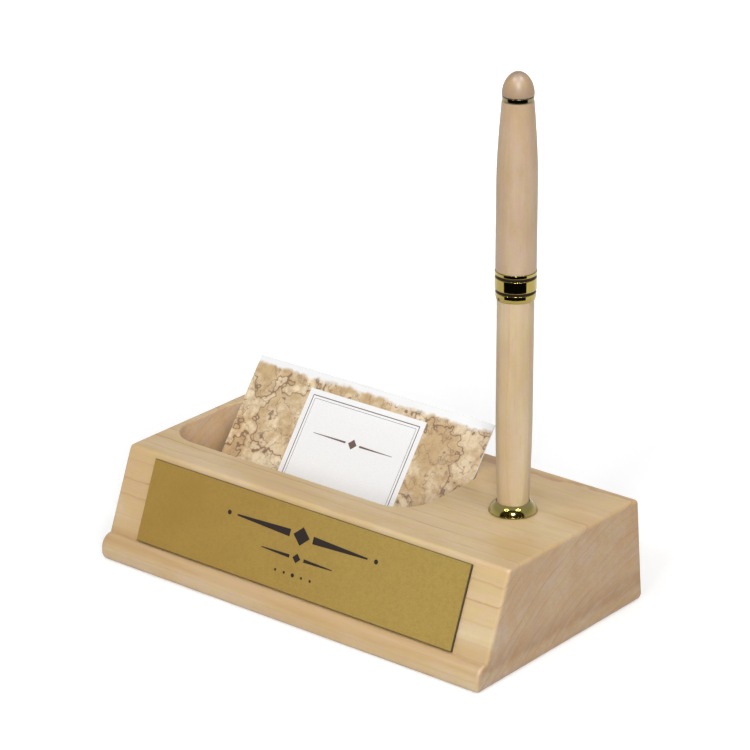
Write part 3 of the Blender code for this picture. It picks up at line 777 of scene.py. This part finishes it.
def rounded_rectangle(centre, length, width, corner):
    points = []
    for quarter, (side_x, side_y) in enumerate(((1, 1), (-1, 1), (-1, -1), (1, -1))):
        middle = (centre[0] + side_x * (length / 2 - corner), centre[1] + side_y * (width / 2 - corner))
        points += arc(middle, (corner, corner), 90 * quarter, 90 * quarter + 90)
    return points


def pocket_cutter():
    """The pocket's room, widened by a small round at the rim."""
    levels = [(0.0, POCKET_FLOOR)]
    levels += [(POCKET_RIM_EASE + grow, BLOCK_HEIGHT - POCKET_RIM_EASE + rise)
               for grow, rise in arc((0, 0), (POCKET_RIM_EASE, POCKET_RIM_EASE), 180, 90, RIM_STEPS)]
    levels.append((POCKET_RIM_EASE, BLOCK_HEIGHT + CUT_OVERSHOOT))
    bm = bmesh.new()
    rings = []
    for grow, height in levels:
        outline = rounded_rectangle((POCKET_CENTRE_X, POCKET_CENTRE_Y), POCKET_LENGTH + 2 * grow,
                                    POCKET_WIDTH + 2 * grow, POCKET_CORNER + grow)
        rings.append([bm.verts.new((x, y, height)) for x, y in outline])
    count = len(rings[0])
    for low, high in zip(rings, rings[1:]):
        for i in range(count):
            bm.faces.new((low[i], low[(i + 1) % count], high[(i + 1) % count], high[i]))
    bm.faces.new(rings[0])
    bm.faces.new(rings[-1])
    return link_mesh("pocket_cutter", smooth_mesh("pocket_cutter", bm), [])


def hole_cutter(place):
    """The room for the socket's sleeve, and the well below it for the nib."""
    room = SLEEVE_BORE + SLEEVE_WALL + SEAT_GAP
    step = -SLEEVE_LENGTH - SEAT_GAP
    well_foot = -NIB_BELOW_TOP - WELL_BELOW_NIB
    profile = [(0, CUT_OVERSHOOT), (0, well_foot), (WELL_RADIUS, well_foot), (WELL_RADIUS, step),
               (room, step), (room, CUT_OVERSHOOT)]
    return link_mesh("hole_cutter", turned_mesh("hole_cutter", profile), [], place)


def cut_block(piece, cutters):
    """Runs the bevel and the cuts, then drops the cutters, so that the block is one plain mesh."""
    bevel = piece.modifiers.new("eased_edges", "BEVEL")
    bevel.width = EDGE_EASE
    bevel.segments = EASE_SEGMENTS
    bevel.limit_method = "WEIGHT"
    bevel.use_clamp_overlap = False
    for cutter in cutters:
        cut = piece.modifiers.new("cut", "BOOLEAN")
        cut.operation = "DIFFERENCE"
        cut.solver = "EXACT"
        cut.object = cutter
    depsgraph = bpy.context.evaluated_depsgraph_get()
    finished = bpy.data.meshes.new_from_object(piece.evaluated_get(depsgraph))
    piece.modifiers.clear()
    piece.data = finished
    finished.shade_smooth()
    finished.set_sharp_from_angle(angle=SMOOTH_ANGLE)
    for cutter in cutters:
        bpy.data.objects.remove(cutter, do_unlink=True)
    weigh = piece.modifiers.new("flat_faces_stay_flat", "WEIGHTED_NORMAL")
    weigh.keep_sharp = True
    weigh.weight = FLAT_FACE_WEIGHT


def block(material, socket_place):
    """The section drawn out along the block, with wider easing along the desk, then cut."""
    bm = bmesh.new()
    end_face = bm.faces.new([bm.verts.new((LEFT, y, z)) for y, z in block_section()])
    grown = bmesh.ops.extrude_face_region(bm, geom=[end_face])
    moved = [item for item in grown["geom"] if isinstance(item, bmesh.types.BMVert)]
    bmesh.ops.translate(bm, verts=moved, vec=(BLOCK_LENGTH, 0, 0))
    bmesh.ops.recalc_face_normals(bm, faces=bm.faces)
    eased = bm.edges.layers.float.new("bevel_weight_edge")
    for edge in bm.edges:
        on_desk = max(vert.co.z for vert in edge.verts) < NEAR_DESK
        share = 1.0 if on_desk else UPPER_EASE_SHARE
        edge[eased] = share if edge.calc_face_angle_signed() > EASED_ANGLE else 0.0
    made = link_mesh("block_wood", smooth_mesh("block_wood", bm), [material])
    cut_block(made, [pocket_cutter(), hole_cutter(socket_place)])
    stand_for(made, "base_block", "base")


def board_mesh(name, length, height, thickness):
    """A thin board: X along it from its middle, +Y up its face, +Z out of its front.

    Its front takes the first material, its other sides the second.
    """
    bm = bmesh.new()
    outline = [(0, 0), (height, 0), (height, thickness), (0, thickness)]
    near, far = [[bm.verts.new((x, y, z)) for y, z in outline] for x in (-length / 2, length / 2)]
    sides = [bm.faces.new((near[i], far[i], far[(i + 1) % 4], near[(i + 1) % 4])) for i in range(4)]
    for face in sides + [bm.faces.new(near), bm.faces.new(far)]:
        face.material_index = 1
    sides[2].material_index = 0
    return plain_mesh(name, bm)


def lean_back(piece, x, y, z, lean):
    """Stands a board up at a place and leans it back from upright."""
    piece.location = (x, y, z)
    piece.rotation_euler = (math.pi / 2 - lean, 0, 0)


def on_slope(distance, stand_off):
    """The y and z of a place up the sloped front, held off from it."""
    y = SLOPE_FOOT_Y + distance * math.sin(FRONT_LEAN) - stand_off * math.cos(FRONT_LEAN)
    z = BEAD_TOP + distance * math.cos(FRONT_LEAN) + stand_off * math.sin(FRONT_LEAN)
    return y, z


def plate():
    mesh = board_mesh("plate_sheet", PLATE_LENGTH, PLATE_HEIGHT, PLATE_THICKNESS)
    sheet = link_mesh("plate_sheet", mesh, [plate_satin(), plate_edge()])
    lean_back(sheet, LEFT + PLATE_FROM_LEFT + PLATE_LENGTH / 2,
              *on_slope(PLATE_FROM_BEAD, PLATE_STAND_OFF), FRONT_LEAN)
    stand_for(sheet, "name_plate", "base")
    return sheet


def shape_mesh(name, outlines, low, high):
    """Thin closed prisms over flat outlines of (x, y) points."""
    bm = bmesh.new()
    for outline in outlines:
        base = bm.faces.new([bm.verts.new((x, y, low)) for x, y in outline])
        grown = bmesh.ops.extrude_face_region(bm, geom=[base])
        raised = [item for item in grown["geom"] if isinstance(item, bmesh.types.BMVert)]
        bmesh.ops.translate(bm, verts=raised, vec=(0, 0, high - low))
    return plain_mesh(name, bm)


def tapered_rule(x_from, x_to, y, half_from, half_to):
    return [(x_from, y - half_from), (x_to, y - half_to), (x_to, y + half_to), (x_from, y + half_from)]


def lozenge(x, y, half_width, half_height):
    return [(x - half_width, y), (x, y - half_height), (x + half_width, y), (x, y + half_height)]


def disc(x, y, radius):
    return arc((x, y), (radius, radius), 0, 360 - 360 / ARC_STEPS, ARC_STEPS - 1)


def on_both_sides(outlines):
    return outlines + [[(-x, y) for x, y in reversed(outline)] for outline in outlines]


def plate_ornament():
    """A plain engraved ornament: a lozenge between tapered rules over two shorter rows."""
    upper = 0.68 * PLATE_HEIGHT
    middle = 0.42 * PLATE_HEIGHT
    lower = 0.22 * PLATE_HEIGHT
    long_rule = tapered_rule(4.2 * MM, 24.0 * MM, upper, half_from=1.1 * MM, half_to=0.25 * MM)
    short_rule = tapered_rule(2.6 * MM, 13.0 * MM, middle, half_from=0.5 * MM, half_to=0.15 * MM)
    large_dot = disc(27.0 * MM, upper, 0.7 * MM)
    small_dots = [disc(x, lower, 0.4 * MM) for x in (3.2 * MM, 6.4 * MM)]
    centre = [lozenge(0.0, upper, 3.0 * MM, 2.7 * MM), lozenge(0.0, middle, 1.5 * MM, 1.4 * MM),
              disc(0.0, lower, 0.6 * MM)]
    return on_both_sides([long_rule, large_dot, short_rule] + small_dots) + centre


def plate_engraving(sheet):
    mesh = shape_mesh("plate_engraving", plate_ornament(), PLATE_THICKNESS - ENGRAVING_DEEP,
                      PLATE_THICKNESS + ENGRAVING_PROUD)
    marks = lay_on(sheet, "plate_engraving", mesh, black_fill("engraving_fill", 0.6, 0.2))
    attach(marks, "base")


def lay_on(sheet, name, mesh, material):
    """Links marks at the place and lean of the board that carries them."""
    marks = link_mesh(name, mesh, [material], sheet.location)
    marks.rotation_euler = sheet.rotation_euler
    return marks


def card_pose():
    """The middle of the card's foot, and its lean, read from its solid."""
    low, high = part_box("business_card")
    lift = high[2] - low[2]
    lean = math.acos(min(1.0, lift / math.hypot(CARD_HEIGHT, CARD_THICKNESS)))
    lean += math.atan2(CARD_THICKNESS, CARD_HEIGHT)
    foot_y = low[1] + CARD_THICKNESS * math.cos(lean)
    return (low[0] + high[0]) / 2, foot_y, low[2], lean


def card():
    white = white_stock()
    mesh = board_mesh("card_sheet", CARD_WIDTH, CARD_HEIGHT, CARD_THICKNESS)
    sheet = link_mesh("card_sheet", mesh, [veined_parchment(), white])
    lean_back(sheet, *card_pose())
    stand_for(sheet, "business_card", "card")
    card_print(sheet, "card_label", [label_outline(0.0)], PRINT_PROUD, white)
    card_print(sheet, "card_rules", label_rules(), 2 * PRINT_PROUD, ink("card_ink", INK_BROWN))


def card_print(sheet, name, outlines, proud, material):
    mesh = shape_mesh(name, outlines, CARD_THICKNESS - PRINT_DEEP, CARD_THICKNESS + proud)
    marks = lay_on(sheet, name, mesh, material)
    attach(marks, "card")


def label_outline(inset):
    """The pale label's rectangle in the middle of the card, drawn in by an inset."""
    side, foot = LABEL_WIDTH / 2 - inset, LABEL_MARGIN + inset
    return [(-side, foot), (side, foot), (side, CARD_HEIGHT - foot), (-side, CARD_HEIGHT - foot)]


def rule_frame(inset, half):
    """Four thin rules round the label, with half of their width given."""
    (x_from, y_from), _, (x_to, y_to), _ = label_outline(inset)
    level = [tapered_rule(x_from, x_to, y, half, half) for y in (y_from, y_to)]
    upright = [[(x - half, y_from), (x + half, y_from), (x + half, y_to), (x - half, y_to)]
               for x in (x_from, x_to)]
    return level + upright


def label_rules():
    """A thin double frame on the label, with a lozenge in the middle of its head rule."""
    head = CARD_HEIGHT - 18.0 * MM
    head_rule = tapered_rule(2.6 * MM, 15.0 * MM, head, half_from=0.3 * MM, half_to=0.08 * MM)
    frames = rule_frame(1.8 * MM, 0.14 * MM) + rule_frame(2.7 * MM, 0.06 * MM)
    return frames + on_both_sides([head_rule]) + [lozenge(0.0, head, 1.6 * MM, 1.6 * MM)]


def nib_radius(height):
    """The nib's radius at a height above its tip, up to its collar."""
    ogive = NIB_LENGTH - NIB_COLLAR
    part = min(max(height / ogive, 0.0), 1.0)
    return NIB_TIP_RADIUS + (LOWER_END_RADIUS - NIB_TIP_RADIUS) * math.sin(part * math.pi / 2)


def bulged_line(start, end, bulge):
    """Points from one place to another, swelling outwards in a half sine between them."""
    run = Vector(end) - Vector(start)
    outwards = Vector((run.y, -run.x)).normalized()
    points = []
    for step in range(ARC_STEPS + 1):
        part = step / ARC_STEPS
        points.append(tuple(Vector(start) + run * part + outwards * bulge * math.sin(math.pi * part)))
    return points


def socket_profile():
    """Sleeve, lip, domed skirt, rounded mouth, bore and land, with the block's top at height 0."""
    land_foot = NIB_BELOW_TOP - SLEEVE_LENGTH
    land_top = land_foot + SEAT_LAND
    crest = SLEEVE_BORE + MOUTH_ROUND
    skirt_foot = FLANGE_FOOT + FLANGE_LIP
    skirt_top = skirt_foot + SKIRT_HEIGHT
    skirt = bulged_line((FLANGE_RADIUS - FLANGE_STEP, skirt_foot), (crest, skirt_top), SKIRT_BULGE)
    mouth = arc((crest, skirt_top - MOUTH_ROUND), (MOUTH_ROUND, MOUTH_ROUND), 90, 180, LIP_STEPS)
    lip = arc((FLANGE_RADIUS - FLANGE_LIP / 2, FLANGE_FOOT + FLANGE_LIP / 2),
              (FLANGE_LIP / 2, FLANGE_LIP / 2), -90, 90, LIP_STEPS)
    sleeve = SLEEVE_BORE + SLEEVE_WALL
    bore = [(SLEEVE_BORE, land_top - NIB_BELOW_TOP),
            (nib_radius(land_top) + SEAT_GAP, land_top - NIB_BELOW_TOP),
            (nib_radius(land_foot) + SEAT_GAP, -SLEEVE_LENGTH)]
    return [(sleeve, -SLEEVE_LENGTH), (sleeve, FLANGE_FOOT)] + lip + skirt + mouth[1:] + bore


def swelling(foot, length, thin, thick):
    """A barrel's outline that thickens from its foot in a quarter sine."""
    points = []
    for step in range(2 * ARC_STEPS + 1):
        part = step / (2 * ARC_STEPS)
        points.append((thin + (thick - thin) * math.sin(part * math.pi / 2), foot + length * part))
    return points


def lower_barrel_profile():
    outside = swelling(LOWER_BARREL_FOOT, LOWER_TAPER_LENGTH, LOWER_END_RADIUS, LOWER_RADIUS)
    top = LOWER_BARREL_TOP + SEAM_CLOSING
    return outside + [(LOWER_RADIUS, top), (TUBE_BORE, top), (TUBE_BORE, LOWER_BARREL_FOOT)]


def upper_barrel_profile():
    foot, top = UPPER_BARREL_FOOT - SEAM_CLOSING, UPPER_BARREL_TOP + SEAM_CLOSING
    taper_foot = top - UPPER_TAPER_LENGTH
    taper = [(radius, top - (height - taper_foot)) for radius, height in
             swelling(taper_foot, UPPER_TAPER_LENGTH, UPPER_END_RADIUS, UPPER_RADIUS)]
    return [(UPPER_RADIUS, foot)] + taper[::-1] + [(TUBE_BORE, top), (TUBE_BORE, foot)]


def lipped(radius, foot, top):
    """A straight wall between rounded lips, held straight by a point just inside each lip."""
    lower = arc((radius - BAND_LIP, foot + BAND_LIP), (BAND_LIP, BAND_LIP), -90, 0, LIP_STEPS)
    upper = arc((radius - BAND_LIP, top - BAND_LIP), (BAND_LIP, BAND_LIP), 0, 90, LIP_STEPS)
    return lower + [(radius, foot + BAND_LIP + LIP_HOLD), (radius, top - BAND_LIP - LIP_HOLD)] + upper


def band_foot():
    """The band's foot from its flat underside: a small round, then a cone out to the first lip."""
    lean = math.tan(BAND_FOOT_LEAN)
    cone_radius = BAND_EDGE_RADIUS - (BAND_FOOT_HEIGHT - BAND_FOOT_ROUND) * lean
    cone = [(cone_radius + LIP_HOLD * lean, BAND_FOOT_ROUND + LIP_HOLD),
            (BAND_EDGE_RADIUS - LIP_HOLD * lean, BAND_FOOT_HEIGHT - LIP_HOLD),
            (BAND_EDGE_RADIUS, BAND_FOOT_HEIGHT)]
    radii = (cone_radius - BAND_FOOT_RADIUS, BAND_FOOT_ROUND)
    return arc((BAND_FOOT_RADIUS, BAND_FOOT_ROUND), radii, -90, 0, BAND_FOOT_STEPS) + cone


def band_profile():
    """The foot and three lipped walls with two grooves between them, round a bore for the tube."""
    half = GROOVE_WIDTH / 2
    groove_floor = BAND_EDGE_RADIUS - GROOVE_DEPTH
    low_foot, low_top = GROOVE_LOW - half, GROOVE_LOW + half
    high_foot, high_top = GROOVE_HIGH - half, GROOVE_HIGH + half
    outside = band_foot()
    outside += lipped(BAND_EDGE_RADIUS, BAND_FOOT_HEIGHT - BAND_LIP, low_foot)[LIP_STEPS + 1:]
    outside += [(groove_floor, low_foot), (groove_floor, low_top)]
    outside += lipped(BAND_EDGE_RADIUS + BAND_BULGE, low_top, high_foot)
    outside += [(groove_floor, high_foot), (groove_floor, high_top)]
    outside += lipped(BAND_TOP_RADIUS, high_top, BAND_LENGTH)
    bore = [(TUBE_BORE, BAND_LENGTH), (TUBE_BORE, 0.0)]
    return [(radius, BAND_FOOT + height) for radius, height in outside + bore]


def inlay_profile(groove):
    inner, outer = BAND_EDGE_RADIUS - GROOVE_DEPTH + FILM_GAP, BAND_EDGE_RADIUS - INLAY_SINK
    foot = BAND_FOOT + groove - GROOVE_WIDTH / 2 + FILM_GAP
    top = BAND_FOOT + groove + GROOVE_WIDTH / 2 - FILM_GAP
    return [(inner, foot), (outer, foot), (outer, top), (inner, top)]


def ring_profile():
    top = RING_FOOT + RING_HEIGHT
    return lipped(RING_RADIUS, RING_FOOT, top) + [(STUD_BORE, top), (STUD_BORE, RING_FOOT)]


def finial_profile():
    """A dome on a small round foot, with a blind hole for the stud."""
    foot = FINIAL_FOOT - SEAM_CLOSING
    widest = foot + FINIAL_FOOT_ROUND
    round_foot = arc((FINIAL_RADIUS - FINIAL_FOOT_ROUND, widest), (FINIAL_FOOT_ROUND, FINIAL_FOOT_ROUND),
                     -90, 0, FINIAL_FOOT_STEPS)
    oval = arc((0, widest), (FINIAL_RADIUS, FINIAL_TOP - widest), 0, 90, 2 * ARC_STEPS)[1:-1]
    dome = [(FINIAL_RADIUS * (radius / FINIAL_RADIUS) ** FINIAL_POINT, height) for radius, height in oval]
    hole_top = FINIAL_FOOT + STUD_LENGTH + SEAT_GAP
    return round_foot + dome + [(0, FINIAL_TOP), (0, hole_top), (STUD_BORE, hole_top), (STUD_BORE, foot)]


def pen_pieces(place, gold, black):
    """The pen's visible turned pieces: the lower barrel, and the upper half that turns."""
    lower_wood = pen_wood("lower_barrel_maple", LOWER_PITH, LOWER_TONE_AND_LIGHT)
    upper_wood = pen_wood("upper_barrel_maple", UPPER_PITH, UPPER_TONE_AND_SHADE)
    dull_gold = gilt("ring_gilt", RING_PALE, RING_DEEP)
    finial_wood = pen_wood("finial_maple", FINIAL_PITH, FINIAL_TONE_AND_SHADE)
    turned_piece("lower_barrel", lower_barrel_profile(), lower_wood, place, "pen")
    turned_piece("upper_barrel", upper_barrel_profile(), upper_wood, place, "pen_top")
    turned_piece("centre_band", band_profile(), gold, place, "pen_top")
    for node, groove in (("band_inlay_lower", GROOVE_LOW), ("band_inlay_upper", GROOVE_HIGH)):
        turned_piece(node, inlay_profile(groove), black, place, "pen_top")
    turned_piece("finial_ring", ring_profile(), dull_gold, place, "pen_top")
    turned_piece("finial", finial_profile(), finial_wood, place, "pen_top")


def dress_nodes(gold):
    """Solids that stay as they are get their own finish."""
    brass = drawn_brass()
    steel = refill_metal()
    finishes = {"nib": gold, "lower_tube": brass, "upper_tube": brass, "twist_body": brass,
                "twist_driver": brass, "cap_plug": brass, "refill_carrier": brass, "refill_tube": steel,
                "refill_point": steel, "refill_ball": steel, "plate_adhesive": film()}
    for node, material in finishes.items():
        mesh = frame["nodes"][node].data
        if mesh.materials:
            mesh.materials[0] = material
        else:
            mesh.materials.append(material)


def seen_rays(shader):
    """Light-path factors: rays from the camera, a mirror or glass, and those from a mirror alone."""
    path = shader.new("LightPath")
    in_mirror = path.outputs["Is Glossy Ray"]
    other = shader.math("MAXIMUM", in_mirror, path.outputs["Is Transmission Ray"])
    return shader.math("MAXIMUM", path.outputs["Is Camera Ray"], other), in_mirror


def way_out(shader, x, y, share=1.0):
    """How far a place, or a heading, lies towards the tent's open front."""
    return shader.plus(shader.times(x, share * math.sin(OPEN_AZIMUTH)),
                       shader.times(y, share * -math.cos(OPEN_AZIMUTH)))


def floor():
    """A pale sheet, white to the camera and in metal, which metal sees end at the tent's open front."""
    shader = Shader("studio_floor")
    x, y = shader.split(shader.here)[:2]
    reach = shader.math("SQRT", shader.plus(shader.times(x, x), shader.times(y, y)))
    glow = shader.remap(reach, GLOW_START, GLOW_END, GLOW_NEAR, GLOW_FAR)
    seen, in_mirror = seen_rays(shader)
    past_edge = shader.remap(way_out(shader, x, y), OPEN_REACH, OPEN_REACH + OPEN_RIM)
    past_edge = shader.times(in_mirror, past_edge)
    glow = shader.times(glow, shader.minus(1.0, past_edge))
    shader.set(base_color=shader.mix(past_edge, FLOOR_GREY, ROOM_DARK))
    shader.set(roughness=0.9, specular_ior_level=0.0)
    shader.set(emission_color=(*WHITE, 1.0), emission_strength=shader.times(glow, seen))
    mesh = bpy.data.meshes.new("studio_floor")
    corners = [(side_x * FLOOR_REACH, side_y * FLOOR_REACH, 0)
               for side_x, side_y in ((-1, -1), (1, -1), (1, 1), (-1, 1))]
    mesh.from_pydata(corners, [], [(0, 1, 2, 3)])
    ground = link_mesh("studio_floor", mesh, [shader.material])


def world():
    """White to the camera, dim to matt surfaces, and to metal a tent that is open on a dim room in front."""
    air = bpy.data.worlds.new("studio_air")
    bpy.context.scene.world = air
    air.use_nodes = True
    shader = Shader(tree=air.node_tree)
    heading = shader.places["Generated"]
    x, y, z = shader.split(heading)
    towards = shader.plus(way_out(shader, x, y, math.cos(OPEN_TILT)), shader.times(z, math.sin(OPEN_TILT)))
    clutter = shader.remap(shader.noise(heading, CLUTTER_SCALE, 4.0, 0.7), 0.5, 0.64)
    to_patch = shader.vector("DOT_PRODUCT", heading, direction(*ROOM_PATCH), "Value")
    pale = shader.math("MAXIMUM", clutter, shader.remap(to_patch, PATCH_EDGE, PATCH_FULL))
    room = shader.mix(pale, ROOM_DARK, ROOM_DIM)
    tent = shader.mix(shader.remap(z, 0.0, 0.5), WHITE, TENT_TOP)
    tent = shader.mix(shader.remap(towards, OPEN_EDGE, OPEN_FULL), tent, room)
    seen, in_mirror = seen_rays(shader)
    light = shader.mix(seen, [AIR_LIGHT] * 3, WHITE)
    light = shader.mix(in_mirror, light, tent)
    shader.tree.links.new(light, shader.tree.nodes["Background"].inputs["Color"])


def unit_vector(azimuth, elevation):
    """The way to a place in the sky, with its azimuth from -Y towards +X, both in radians."""
    return Vector((math.sin(azimuth) * math.cos(elevation), -math.cos(azimuth) * math.cos(elevation),
                   math.sin(elevation)))


def direction(azimuth, elevation):
    """A unit vector, with its azimuth in degrees to the right of the camera's."""
    return unit_vector(CAMERA_AZIMUTH + math.radians(azimuth), math.radians(elevation))


def lamp(name, heading, power, size, distance=LAMP_NEAR, in_mirror=False):
    """A round lamp that either lights matt surfaces or is mirrored, so that each can be set alone."""
    data = bpy.data.lights.new(name, "AREA")
    data.shape = "DISK"
    data.energy = power
    data.size = size
    if in_mirror:
        data.color = FLASH_TINT
    made = linked(name, data)
    away = direction(*heading)
    made.location = LAMPS_AIM + distance * away
    made.rotation_euler = away.to_track_quat("Z", "Y").to_euler()
    made.visible_camera = False
    made.visible_glossy = in_mirror
    made.visible_diffuse = not in_mirror


def lamps():
    """The lamps for matt surfaces, then those that metal mirrors."""
    lamp("soft_left", UPPER_LEFT, power=1.6, size=0.24)
    lamp("soft_right", UPPER_RIGHT, power=1.6, size=0.24)
    lamp("soft_front", OVER_CAMERA, power=2.0, size=0.17)
    lamp("fill_front", AT_CAMERA, power=7.9, size=0.4, distance=LAMP_FAR)
    lamp("key_left", LEFT_OF_CAMERA, power=2.4, size=0.12, distance=LAMP_MIDDLE)
    lamp("fill_back", BEHIND, power=4.5, size=0.4, distance=LAMP_FAR)
    lamp("glint_left", UPPER_LEFT, power=8.0, size=0.26, in_mirror=True)
    lamp("glint_right", UPPER_RIGHT, power=8.0, size=0.26, in_mirror=True)
    lamp("glint_front", OVER_CAMERA, power=10.0, size=0.22, in_mirror=True)


def camera():
    back = unit_vector(CAMERA_AZIMUTH, CAMERA_ELEVATION)
    right = Vector((math.cos(CAMERA_AZIMUTH), math.sin(CAMERA_AZIMUTH), 0.0))
    level = Matrix((right, back.cross(right), back)).transposed()
    turn = level @ Matrix.Rotation(CAMERA_ROLL, 3, "Z")
    data = bpy.data.cameras.new("view_camera")
    data.lens = CAMERA_LENS
    data.sensor_width = SENSOR_WIDTH
    made = linked("view_camera", data)
    made.matrix_world = Matrix.Translation(CAMERA_PLACE) @ turn.to_4x4()
    bpy.context.scene.camera = made


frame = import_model()
bpy.context.scene.view_settings.view_transform = "Standard"

socket_low, socket_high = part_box("pen_socket")
SOCKET_PLACE = ((socket_low[0] + socket_high[0]) / 2, (socket_low[1] + socket_high[1]) / 2, BLOCK_HEIGHT)
PEN_PLACE = (*SOCKET_PLACE[:2], BLOCK_HEIGHT - NIB_BELOW_TOP)

gilt_metal = gilt("polished_gilt", GILT_PALE, GILT_DEEP)
block(block_wood(), SOCKET_PLACE)
plate_engraving(plate())
card()
turned_piece("pen_socket", socket_profile(), gilt_metal, SOCKET_PLACE, "base")
pen_pieces(PEN_PLACE, gilt_metal, black_fill("groove_enamel", 0.45, 0.12))
dress_nodes(gilt_metal)
floor()
world()
lamps()
camera()
